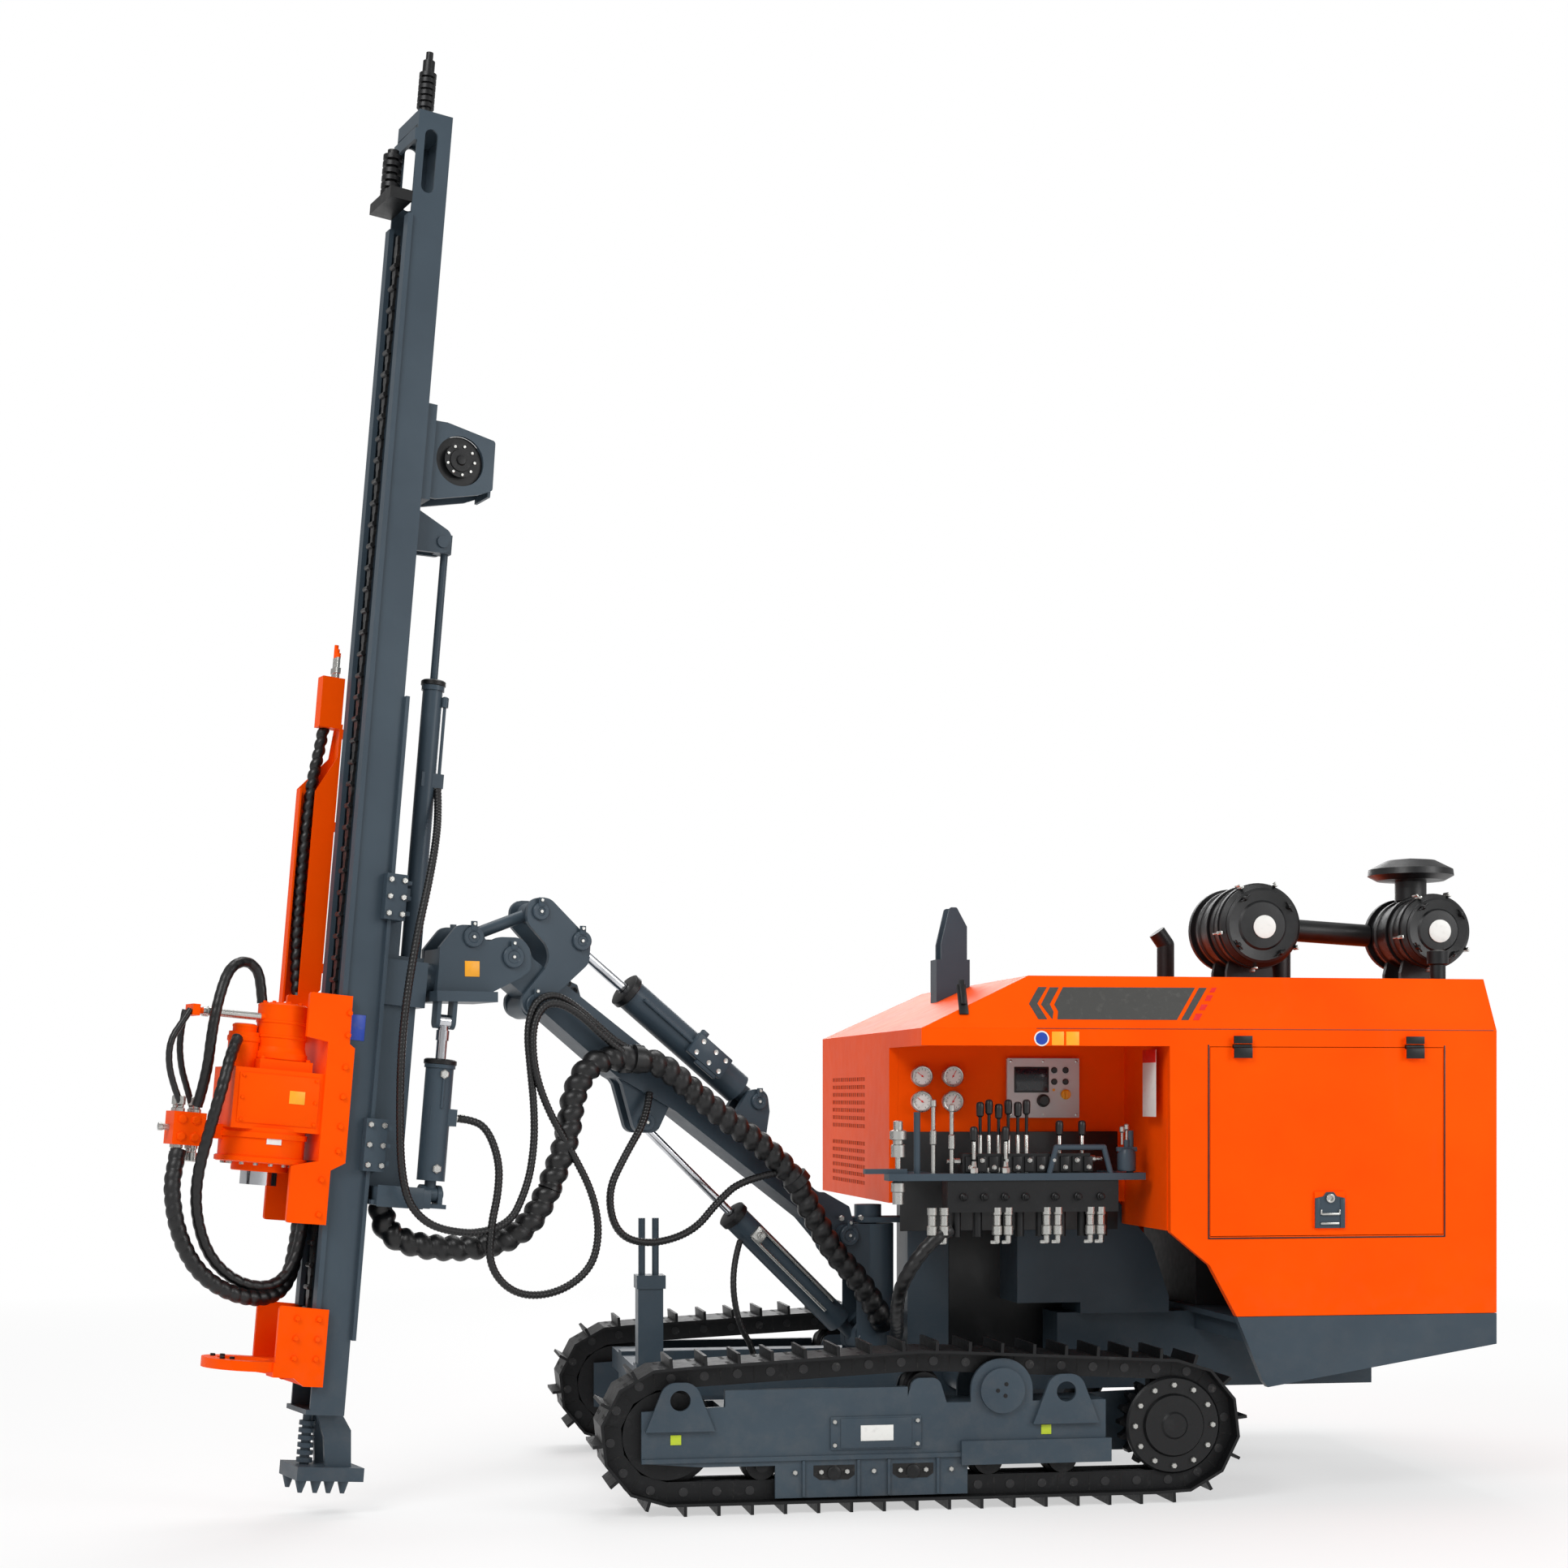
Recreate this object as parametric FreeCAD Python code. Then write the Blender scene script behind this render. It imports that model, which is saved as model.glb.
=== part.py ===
import FreeCAD, Part
import math
import os

# Down-the-hole drilling rig on tracks, in millimetres.
# X points to the rear of the machine, Y to its far side and Z up from the ground.
# The arm frame has its origin on the swing axis and the mast frame on the mast's own swing pin.

V = FreeCAD.Vector
os.makedirs("parts", exist_ok=True)

# Overall layout
RUNNING_GAP = 0.4
MOVING_GAP = 6.0
SHEET = 30.0
PLATE = 20.0
THICK_PLATE = 25.0

# Track and wheels: a side's centre plane lies this far from the machine's middle
TRACK_OFFSET = 980.0
SHOE_WIDTH = 300.0
SHOE_COUNT = 42
LINK_HEIGHT = 80.0
PIN_HEIGHT = 45.0
SHOE_THICKNESS = 12.0
GROUSER_HEIGHT = 40.0
GROUSER_THICKNESS = 13.0
LINK_STRIP = 38.0
LINK_SPACING = 60.0
WHEEL_RADIUS = 190.0
IDLER_X = -787.0
SPROCKET_X = 1360.0
SPROCKET_TEETH = 21
CARRIER_X = 287.0
CARRIER_RADIUS = 70.0
CARRIER_TOP = 568.0
ROLLER_RADIUS = 62.0
ROLLER_XS = (-397.0, -77.0, 243.0, 563.0, 883.0)
HUB_COVER_RADIUS = 205.0
WHEEL_Z = WHEEL_RADIUS + LINK_HEIGHT + SHOE_THICKNESS + GROUSER_HEIGHT
CARRIER_Z = CARRIER_TOP - CARRIER_RADIUS

# Track frame: side plates with the rollers between them
FRAME_FRONT = -896.0
FRAME_REAR = 1056.0
FRAME_LOW = 196.0
FRAME_HIGH = 440.0
FRAME_HALF = 130.0
EYE_FRONT_X = -739.0
EYE_REAR_X = 881.0
EYE_BORE = 42.0
PIVOT_X = 609.0
PIVOT_Z = 487.0
PIVOT_RADIUS = 94.0


# Plain helpers for solids
def box(x0, x1, y0, y1, z0, z1):
    return Part.makeBox(x1 - x0, y1 - y0, z1 - z0, V(x0, y0, z0))


def rod(start, end, radius):
    a = V(*start)
    b = V(*end)
    return Part.makeCylinder(radius, (b - a).Length, a, b - a)


def pipe(start, end, radius, bore):
    return rod(start, end, radius).cut(rod(start, end, bore))


def disc(x, z, radius, y0, y1):
    return rod((x, y0, z), (x, y1, z), radius)


def fuse(*shapes):
    joined = shapes[0].fuse(list(shapes[1:])) if len(shapes) > 1 else shapes[0]
    return joined.removeSplitter()


def outline_wire(points, level):
    """Closed outline in the XZ plane at one Y; a third number in a point rounds its corner."""
    count = len(points)
    corners = []
    for i in range(count):
        here = V(points[i][0], level, points[i][1])
        radius = points[i][2] if len(points[i]) > 2 else 0.0
        if radius <= 0:
            corners.append((here, here, None))
            continue
        before = V(points[i - 1][0], level, points[i - 1][1])
        after = V(points[(i + 1) % count][0], level, points[(i + 1) % count][1])
        u = (before - here).normalize()
        w = (after - here).normalize()
        half = u.getAngle(w) / 2
        reach = radius / math.tan(half)
        middle = (u + w).normalize() * (radius / math.sin(half) - radius)
        corners.append((here + u * reach, here + w * reach, here + middle))
    edges = []
    for i in range(count):
        start, end, middle = corners[i]
        if middle is not None:
            edges.append(Part.Arc(start, middle, end).toShape())
        target = corners[(i + 1) % count][0]
        if (target - end).Length > 1e-4:
            edges.append(Part.LineSegment(end, target).toShape())
    return Part.Wire(edges)


def plate(points, y0, y1):
    """Solid between two Y levels with an outline of (x, z) or (x, z, corner radius)."""
    low, high = min(y0, y1), max(y0, y1)
    return Part.Face(outline_wire(points, low)).extrude(V(0, high - low, 0))


def pair(points, inner, outer):
    """Two equal plates either side of the middle plane."""
    return [plate(points, inner, outer), plate(points, -outer, -inner)]


def turned(profile, origin, axis):
    """Solid of revolution: profile rows are (radius, distance along the axis)."""
    wire = Part.makePolygon([V(r, 0, h) for r, h in profile] + [V(profile[0][0], 0, profile[0][1])])
    solid = Part.Face(wire).revolve(V(0, 0, 0), V(0, 0, 1), 360)
    solid.Placement = FreeCAD.Placement(V(*origin), FreeCAD.Rotation(V(0, 0, 1), V(*axis)))
    return solid


def both_sides(shape):
    """The shape and its mirror image across the middle plane."""
    return [shape, shape.mirror(V(0, 0, 0), V(0, 1, 0))]


def mirrored(shape):
    return shape.mirror(V(0, 0, 0), V(0, 1, 0))


def save(name, *shapes, frame=None):
    """Write one sub-part: solids of one node that don't touch stay apart in it."""
    solids = []
    for shape in shapes:
        solids.extend(shape.Solids)
    node = solids[0].copy() if len(solids) == 1 else Part.Compound(solids)
    if frame is not None:
        node = node.transformed(frame.toMatrix())
    if not node.isValid():
        print("invalid shape:", name)
    node.exportStep("parts/" + name + ".step")
    NODES[name] = node


NODES = {}


# Track loop: tangent lines round the idler, the carrier roller and the sprocket
TRACK_CIRCLES = (
    # x, z, radius
    (IDLER_X, WHEEL_Z, WHEEL_RADIUS),
    (CARRIER_X, CARRIER_Z, CARRIER_RADIUS),
    (SPROCKET_X, WHEEL_Z, WHEEL_RADIUS),
)


def track_normals():
    """Unit normals of the three straight runs: front top, rear top and bottom."""
    normals = []
    for i in range(3):
        x0, z0, r0 = TRACK_CIRCLES[i]
        x1, z1, r1 = TRACK_CIRCLES[(i + 1) % 3]
        length = math.hypot(x1 - x0, z1 - z0)
        ux, uz = (x1 - x0) / length, (z1 - z0) / length
        lean = (r0 - r1) / length
        side = math.sqrt(1 - lean * lean)
        normals.append((ux * lean - uz * side, uz * lean + ux * side))
    return normals


def track_point(fraction, height):
    """Point at a share of the pitch line's length, at a height above the links' inner line."""
    normals = track_normals()
    spans = []
    for i in range(3):
        x0, z0, r0 = TRACK_CIRCLES[i]
        x1, z1, r1 = TRACK_CIRCLES[(i + 1) % 3]
        nx, nz = normals[i]
        before = normals[i - 1]
        turn = (math.atan2(before[1], before[0]) - math.atan2(nz, nx)) % (2 * math.pi)
        spans.append(("arc", (x0, z0, r0), before, turn, turn * (r0 + PIN_HEIGHT)))
        start = (x0 + nx * r0, z0 + nz * r0)
        end = (x1 + nx * r1, z1 + nz * r1)
        spans.append(("run", start, end, (nx, nz), math.hypot(end[0] - start[0], end[1] - start[1])))
    left = (fraction % 1.0) * sum(span[4] for span in spans)
    for span in spans:
        if left > span[4]:
            left -= span[4]
            continue
        if span[0] == "arc":
            (x, z, r), first = span[1], span[2]
            angle = math.atan2(first[1], first[0]) - left / (r + PIN_HEIGHT)
            return (x + (r + height) * math.cos(angle), z + (r + height) * math.sin(angle))
        share = left / span[4]
        (x0, z0), (x1, z1), (nx, nz) = span[1], span[2], span[3]
        return (x0 + (x1 - x0) * share + nx * height, z0 + (z1 - z0) * share + nz * height)


def track_band(inner, outer, grousers):
    """Ring outline of flat shoes; every shoe can carry one grouser at its middle."""
    ring = []
    for i in range(SHOE_COUNT):
        x0, z0 = track_point(i / SHOE_COUNT, outer)
        x1, z1 = track_point((i + 1) / SHOE_COUNT, outer)
        ring.append((x0, z0))
        if grousers:
            length = math.hypot(x1 - x0, z1 - z0)
            ux, uz = (x1 - x0) / length, (z1 - z0) / length
            for along, up in ((-0.5, 0.0), (-0.5, 1.0), (0.5, 1.0), (0.5, 0.0)):
                step = length / 2 + along * GROUSER_THICKNESS
                lift = up * GROUSER_HEIGHT
                ring.append((x0 + ux * step - uz * lift, z0 + uz * step + ux * lift))
    hole = [track_point(i / SHOE_COUNT, inner) for i in range(SHOE_COUNT)]
    return ring, hole


def make_track():
    ring, hole = track_band(LINK_HEIGHT, LINK_HEIGHT + SHOE_THICKNESS, True)
    band = plate(ring, -SHOE_WIDTH / 2, SHOE_WIDTH / 2).cut(plate(hole, -SHOE_WIDTH, SHOE_WIDTH))
    ring, hole = track_band(0.0, LINK_HEIGHT + SHOE_THICKNESS / 2, False)
    strips = []
    for centre in (-LINK_SPACING, LINK_SPACING):
        strip = plate(ring, centre - LINK_STRIP / 2, centre + LINK_STRIP / 2)
        strips.append(strip.cut(plate(hole, -SHOE_WIDTH, SHOE_WIDTH)))
    return fuse(band, *strips)


# The links' flat inner sides pass a little inside the wheels' circle, so the treads are smaller
HALF_TURN = 360.0 / SHOE_COUNT
TREAD_RADIUS = WHEEL_RADIUS * 0.955
FLANGE_RADIUS = WHEEL_RADIUS + 22.0
FLANGE_HALF = LINK_SPACING - LINK_STRIP / 2 - 4.0
TREAD_HALF = LINK_SPACING + LINK_STRIP / 2 + 6.0


def flanged_wheel(x, z, tread, flange, bore):
    profile = [
        (bore, -TREAD_HALF), (tread, -TREAD_HALF), (tread, -FLANGE_HALF), (flange, -FLANGE_HALF + 6),
        (flange, FLANGE_HALF - 6), (tread, FLANGE_HALF), (tread, TREAD_HALF), (bore, TREAD_HALF),
    ]
    return turned(profile, (x, 0, z), (0, 1, 0))


def make_sprocket():
    """Toothed ring between the link strips, with a bolted hub cover on the outer side."""
    points = []
    root = WHEEL_RADIUS - 14.0
    for i in range(SPROCKET_TEETH):
        for share, radius in ((0.0, root), (0.3, FLANGE_RADIUS), (0.55, FLANGE_RADIUS), (0.85, root)):
            angle = 2 * math.pi * (i + share) / SPROCKET_TEETH
            points.append((SPROCKET_X + radius * math.cos(angle), WHEEL_Z + radius * math.sin(angle)))
    ring = plate(points, -FLANGE_HALF + 6, FLANGE_HALF - 6)
    cover = [
        (0.0, -112.0), (124.0, -112.0), (136.0, -96.0), (150.0, -96.0),
        (150.0, -60.0), (150.0, 60.0), (0.0, 60.0),
    ]
    hub = turned(cover, (SPROCKET_X, 0, WHEEL_Z), (0, 1, 0))
    return fuse(ring, hub)


def make_running_gear():
    """Idler, carrier, bottom rollers and sprocket of one side, each on its own axle."""
    axle = FRAME_HALF - PLATE - RUNNING_GAP
    wheels = []
    idler = flanged_wheel(IDLER_X, WHEEL_Z, TREAD_RADIUS, FLANGE_RADIUS, 0.0)
    wheels.append(fuse(idler, disc(IDLER_X, WHEEL_Z, 45.0, -axle, axle)))
    roller_z = WHEEL_Z - WHEEL_RADIUS + ROLLER_RADIUS + RUNNING_GAP
    for x in ROLLER_XS:
        roller = flanged_wheel(x, roller_z, ROLLER_RADIUS, ROLLER_RADIUS + 14.0, 0.0)
        wheels.append(fuse(roller, disc(x, roller_z, 28.0, -axle, axle)))
    carrier = flanged_wheel(CARRIER_X, CARRIER_Z, CARRIER_RADIUS - 5.0, CARRIER_RADIUS + 8.0, 0.0)
    wheels.append(fuse(carrier, disc(CARRIER_X, CARRIER_Z, 28.0, -axle, axle)))
    return wheels


def make_sprocket_drive():
    axle = FRAME_HALF - PLATE - RUNNING_GAP
    motor = disc(SPROCKET_X, WHEEL_Z, 120.0, 50.0, axle)
    return fuse(make_sprocket(), motor)


def make_track_frame():
    """Side plates, top plate, eyes, pivot, guard and step of the near frame about its own middle."""
    outer, inner = FRAME_HALF, FRAME_HALF - PLATE
    face = outer + PLATE
    side = [
        (FRAME_FRONT, FRAME_LOW + 20), (FRAME_FRONT, FRAME_HIGH - 14), (-590, FRAME_HIGH),
        (FRAME_REAR, FRAME_HIGH), (FRAME_REAR, FRAME_LOW), (-640, FRAME_LOW),
    ]
    pieces = pair(side, inner, outer)
    top_plate = box(-570, FRAME_REAR, -inner, inner, FRAME_HIGH - PLATE, FRAME_HIGH)
    well = CARRIER_RADIUS + 20
    pieces.append(top_plate.cut(box(CARRIER_X - well, CARRIER_X + well, -TREAD_HALF - 8, TREAD_HALF + 8,
                                    FRAME_HIGH - PLATE - 1, FRAME_HIGH + 1)))
    # Carrier roller's cheeks and the levelling pivot's arch stand on both side plates
    cheek = [
        (CARRIER_X - 90, FRAME_HIGH - 10), (CARRIER_X - 55, CARRIER_Z + 45, 40),
        (CARRIER_X + 55, CARRIER_Z + 45, 40), (CARRIER_X + 90, FRAME_HIGH - 10),
    ]
    pieces.extend(pair(cheek, inner, outer))
    arch = [
        (PIVOT_X - 132, FRAME_HIGH - 60), (PIVOT_X - 132, PIVOT_Z + 132, 130),
        (PIVOT_X + 132, PIVOT_Z + 132, 130), (PIVOT_X + 132, FRAME_HIGH - 60),
    ]
    pieces.extend(pair(arch, inner, outer))
    pieces.append(disc(PIVOT_X, PIVOT_Z, PIVOT_RADIUS, -face, -inner))
    # Inner plate reaches round the final drive
    arm = [
        (FRAME_REAR - 40, FRAME_LOW), (SPROCKET_X + 40, WHEEL_Z - 130, 60),
        (SPROCKET_X + 130, WHEEL_Z, 90), (SPROCKET_X + 40, WHEEL_Z + 130, 60), (FRAME_REAR - 40, FRAME_HIGH),
    ]
    pieces.append(plate(arm, inner, outer))
    # Lifting eyes
    for x, half, top in ((EYE_FRONT_X, 142, 544), (EYE_REAR_X, 142, 551)):
        eye = plate([(x - half, 345), (x - 62, top, 66), (x + 62, top, 66), (x + half, 345)], -face, -outer)
        pieces.append(eye.cut(disc(x, top - 73, EYE_BORE, -face - 1, -outer + 1)))
        slot = disc(x, top - 73, EYE_BORE + 6, -outer - 1, -inner + 1)
        pieces = [piece.cut(slot) for piece in pieces[:-1]] + [pieces[-1]]
    # Top box, step box, guard below and the end plate behind
    pieces.append(box(-553, 209, -outer, -TREAD_HALF - 4, FRAME_HIGH - 6, 508))
    pieces.append(box(433, 1076, -face, -outer, 182, 281))
    pieces.append(plate([(-346, FRAME_LOW + 4), (-346, 62), (462, 62), (462, FRAME_LOW + 4)], -outer, -inner))
    pieces.append(box(FRAME_FRONT, 433, -outer - 10, -outer, FRAME_LOW + 20, FRAME_LOW + 38))
    pieces.append(box(FRAME_REAR - PLATE, FRAME_REAR, -inner, inner, FRAME_LOW, FRAME_HIGH))
    return fuse(*pieces)


def side_node(name, shapes):
    """Near side as drawn, and the far side as its mirror image."""
    near = [shape.translated(V(0, -TRACK_OFFSET, 0)) for shape in shapes]
    save(name + "_left", *near)
    save(name + "_right", *[mirrored(shape) for shape in near])


side_node("track", [make_track()])
side_node("running_gear", make_running_gear() + [make_sprocket_drive()])
side_node("track_frame", [make_track_frame()])

# Main frame
BEAM_INNER = 240.0
BEAM_OUTER = 360.0
BEAM_LOW = 400.0
BEAM_HIGH = 540.0
FRONT_X = -830.0
DECK_Z = 740.0
SUBFRAME_X = 1060.0
HOUSING_REAR = 2804.0
SWING_X = 270.0
LUG_LOW = 500.0
HUB_LOW = 556.0
HUB_HIGH = 1130.0
HUB_RADIUS = 117.0
PEDESTAL_FRONT = 430.0
PEDESTAL_REAR = 700.0
PEDESTAL_HALF = 115.0
SWING_PIN = 40.0
# Boom swing cylinder, between an ear on the swing base and a bracket on the main frame
EAR_REACH = 190.0
SWING_BASE_X = SWING_X + 700.0
SWING_BASE_Y = 230.0
SWING_CYL_Z = 700.0
EYE_HALF = 25.0


def make_main_frame():
    pieces = []
    for beam in both_sides(box(FRONT_X, HOUSING_REAR - 260, BEAM_INNER, BEAM_OUTER, BEAM_LOW, BEAM_HIGH)):
        pieces.append(beam)
    for beam in both_sides(box(SUBFRAME_X, HOUSING_REAR - 120, BEAM_INNER, BEAM_OUTER, BEAM_HIGH, DECK_Z)):
        pieces.append(beam)
    pieces.append(box(FRONT_X, FRONT_X + 130, -640, 640, 430, 523))
    pieces.append(box(SWING_X - 160, PEDESTAL_REAR, -BEAM_INNER, BEAM_INNER, LUG_LOW - 70, LUG_LOW))
    for x in (SUBFRAME_X, 1700.0, 2400.0):
        pieces.append(box(x, x + 120, -BEAM_INNER, BEAM_INNER, BEAM_HIGH - 60, DECK_Z))
    inner_face = TRACK_OFFSET - FRAME_HALF - RUNNING_GAP
    for tube in both_sides(disc(PIVOT_X, PIVOT_Z, 78.0, BEAM_INNER, inner_face)):
        pieces.append(tube)
    for flange in both_sides(disc(PIVOT_X, PIVOT_Z, 120.0, inner_face - 30, inner_face)):
        pieces.append(flange)
    # Outriggers under the deck carry the housing's sills
    for x in (1700.0, 2564.0):
        pieces.append(box(x, x + 120, -1000, 1000, DECK_Z - 80, DECK_Z))
    # Bracket for the boom swing cylinder
    bracket = [
        (SWING_BASE_X - 60, BEAM_HIGH - 10), (SWING_BASE_X - 60, SWING_CYL_Z - 60),
        (SWING_BASE_X + 150, SWING_CYL_Z - 60), (SWING_BASE_X + 150, BEAM_HIGH - 10),
    ]
    pieces.append(plate(bracket, SWING_BASE_Y - 60, SWING_BASE_Y + 70))
    pieces.append(rod((SWING_BASE_X, SWING_BASE_Y, SWING_CYL_Z - 58), (SWING_BASE_X, SWING_BASE_Y, SWING_CYL_Z + 54), 20))
    for low, high in ((-60.0, -EYE_HALF - RUNNING_GAP), (EYE_HALF + RUNNING_GAP, 50.0)):
        ear = box(SWING_BASE_X - 45, SWING_BASE_X + 150, SWING_BASE_Y - 45, SWING_BASE_Y + 45,
                  SWING_CYL_Z + low, SWING_CYL_Z + high)
        pieces.append(ear)
    pieces.append(box(SWING_BASE_X + 60, SWING_BASE_X + 150, SWING_BASE_Y - 45, SWING_BASE_Y + 45,
                      SWING_CYL_Z - 61, SWING_CYL_Z + 50))
    return fuse(*pieces)


def make_pedestal():
    """Box behind the swing base with a lug above it and one below."""
    high = HUB_HIGH + RUNNING_GAP + 5
    body = box(PEDESTAL_FRONT, PEDESTAL_REAR, -PEDESTAL_HALF, PEDESTAL_HALF, LUG_LOW + RUNNING_GAP, high + 75)
    lower = fuse(
        rod((SWING_X, 0, LUG_LOW + RUNNING_GAP), (SWING_X, 0, HUB_LOW - MOVING_GAP), 108.0),
        box(SWING_X, PEDESTAL_FRONT + 1, -108, 108, LUG_LOW + RUNNING_GAP, HUB_LOW - MOVING_GAP),
    )
    upper = fuse(
        rod((SWING_X, 0, high), (SWING_X, 0, high + 24), 86.0),
        box(SWING_X, PEDESTAL_FRONT + 1, -86, 86, high, high + 24),
        rod((SWING_X, 0, high + 23), (SWING_X, 0, high + 80), 62.0),
    )
    bore = rod((SWING_X, 0, LUG_LOW), (SWING_X, 0, HUB_HIGH + 61), SWING_PIN + RUNNING_GAP)
    return fuse(body, lower, upper).cut(bore)


save("main_frame", make_main_frame())
POST_Y = -300.0
post = [
    box(FRONT_X + 8, FRONT_X + 118, POST_Y - 55, POST_Y + 55, BEAM_HIGH + RUNNING_GAP, 870),
    box(FRONT_X + 2, FRONT_X + 128, POST_Y - 62, POST_Y + 62, 869, 927),
    rod((FRONT_X + 30, POST_Y, 920), (FRONT_X + 30, POST_Y, 1175), 15),
    rod((FRONT_X + 90, POST_Y, 920), (FRONT_X + 90, POST_Y, 1175), 15),
]
save("travel_post", fuse(*post))
save("swing_pedestal", make_pedestal())

# Arm frame: reach is forward of the swing axis and the boom stands swung to the near side
SWING_REST = 18.0
MAST_LEAN = 5.0
ARM = FreeCAD.Placement(V(SWING_X, 0, 0), FreeCAD.Rotation(V(0, 0, 1), SWING_REST))
# Pins of the arm as (reach, height)
FOOT_PIN = (160.0, 1082.0)
HEAD_PIN = (1775.0, 2291.0)
KNUCKLE_PIN = (1953.0, 2370.0)
ROCKER_TOP = (1651.0, 2486.0)
ROCKER_PIN = (1671.0, 2092.0)
PITCH_ROD_PIN = (1463.0, 2367.0)
PITCH_BASE = (595.0, 1684.0)
LIFT_ROD_PIN = (1138.0, 1594.0)
LIFT_BASE = (59.0, 605.0)
MAST_PIVOT = (2120.0, 2190.0)
MAST = ARM.multiply(FreeCAD.Placement(V(-MAST_PIVOT[0], 0, MAST_PIVOT[1]),
                                      FreeCAD.Rotation(V(0, 1, 0), MAST_LEAN)))
BOOM_HALF = 80.0
CHEEK_INNER = BOOM_HALF + 5.0
CHEEK_OUTER = CHEEK_INNER + THICK_PLATE
BIG_PIN = 35.0
SMALL_PIN = 25.0
LIFT_EYE_HALF = 30.0
PITCH_EYE_HALF = 40.0
LIFT_BARREL = 60.0
LIFT_ROD = 19.0
PITCH_BARREL = 70.0
PITCH_ROD = 23.0


def forward(points):
    """Turn (reach, height) rows into the frame's own x, which points rearwards."""
    return [(-p[0],) + tuple(p[1:]) for p in points]


def arm_pair(points, inner, outer):
    return pair(forward(points), inner, outer)


def arm_disc(pin, radius, half, low=None):
    start = -half if low is None else low
    return disc(-pin[0], pin[1], radius, start, half)


def along(start, end, distance):
    """Point on the line between two pins, at a distance from the first."""
    length = math.hypot(end[0] - start[0], end[1] - start[1])
    share = distance / length
    return (-(start[0] + (end[0] - start[0]) * share), 0, start[1] + (end[1] - start[1]) * share)


def pins_apart(start, end):
    return math.hypot(end[0] - start[0], end[1] - start[1])


def make_swing_base():
    """Hub between the pedestal's lugs, with ears for the boom, the lift and the swing cylinder."""
    hub = rod((0, 0, HUB_LOW), (0, 0, HUB_HIGH), HUB_RADIUS)
    hub = hub.cut(box(-HUB_RADIUS - 1, -96, -BOOM_HALF - 1, BOOM_HALF + 1, FOOT_PIN[1] - 64, HUB_HIGH + 1))
    hub = hub.cut(box(-HUB_RADIUS - 1, -8, -LIFT_BARREL - 6, LIFT_BARREL + 6, HUB_LOW - 1, 890))
    lug = [
        (-20, 920), (-20, HUB_HIGH), (130, HUB_HIGH, 20), (216, 1140, 50), (216, 1026, 50), (60, 860),
    ]
    cheek = [(-60, HUB_LOW + 3), (-60, 730), (20, 730), (105, 651, 44), (105, HUB_LOW + 3, 44)]
    pieces = [hub] + arm_pair(lug, BOOM_HALF + RUNNING_GAP, BOOM_HALF + 26)
    pieces += arm_pair(cheek, LIFT_EYE_HALF + RUNNING_GAP, LIFT_BARREL + 8)
    pieces.append(arm_disc(FOOT_PIN, BIG_PIN, BOOM_HALF + 36))
    pieces.append(arm_disc(LIFT_BASE, SMALL_PIN, LIFT_BARREL + 14))
    stub_low, stub_high = LUG_LOW + RUNNING_GAP + 5, HUB_HIGH + 60
    pieces.append(rod((0, 0, stub_low), (0, 0, HUB_LOW + 1), SWING_PIN))
    pieces.append(rod((0, 0, HUB_HIGH - 1), (0, 0, stub_high), SWING_PIN))
    for low, high in ((-EYE_HALF - 25, -EYE_HALF - RUNNING_GAP), (EYE_HALF + RUNNING_GAP, EYE_HALF + 25)):
        ear = fuse(
            box(-42, 42, 82, EAR_REACH, SWING_CYL_Z + low, SWING_CYL_Z + high),
            rod((0, EAR_REACH, SWING_CYL_Z + low), (0, EAR_REACH, SWING_CYL_Z + high), 42),
        )
        pieces.append(ear)
    return fuse(*pieces)


def make_boom():
    body = [
        (299, 1275, 60), (526, 1465), (1671, 2288), (1722, 2368, 40), (1850, 2366, 70), (1850, 2240, 60),
        (1770, 2179), (1287, 1794), (1004, 1641), (336, 1160), (214, 1028, 50), (108, 1028, 50),
        (108, 1100), (141, 1211, 15), (270, 1278, 20),
    ]
    boom = plate(forward(body), -BOOM_HALF, BOOM_HALF)
    boom = fuse(boom, arm_disc(ROCKER_PIN, 56, BOOM_HALF))
    lift_ear = [(1290, 1810), (1252, 1759), (1190, 1549, 48), (1086, 1549, 48), (1028, 1665)]
    bracket = [(790, 1640), (705, 1640), (640, 1738, 50), (553, 1738, 50), (540, 1640), (566, 1480), (620, 1500)]
    tab = [(1520, 2150), (1491, 2206, 12), (1440, 2185, 12), (1412, 2090)]
    pieces = [boom]
    pieces += arm_pair(lift_ear, LIFT_EYE_HALF + RUNNING_GAP, LIFT_EYE_HALF + 32)
    pieces += arm_pair(bracket, PITCH_EYE_HALF + RUNNING_GAP, PITCH_EYE_HALF + 30)
    pieces.append(plate(forward(tab), -12, 0))
    pieces.append(arm_disc(PITCH_BASE, SMALL_PIN, PITCH_EYE_HALF + 36))
    pieces.append(arm_disc(ROCKER_PIN, BIG_PIN, CHEEK_OUTER + 8))
    for low, high in ((LIFT_EYE_HALF + 31, LIFT_EYE_HALF + 40), (-LIFT_EYE_HALF - 40, -LIFT_EYE_HALF - 31)):
        pieces.append(arm_disc(LIFT_ROD_PIN, SMALL_PIN, high, low))
    boom = fuse(*pieces)
    boom = boom.cut(arm_disc(FOOT_PIN, BIG_PIN + RUNNING_GAP, BOOM_HALF + 10))
    return boom.cut(arm_disc(HEAD_PIN, BIG_PIN + RUNNING_GAP, BOOM_HALF + 10))


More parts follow.
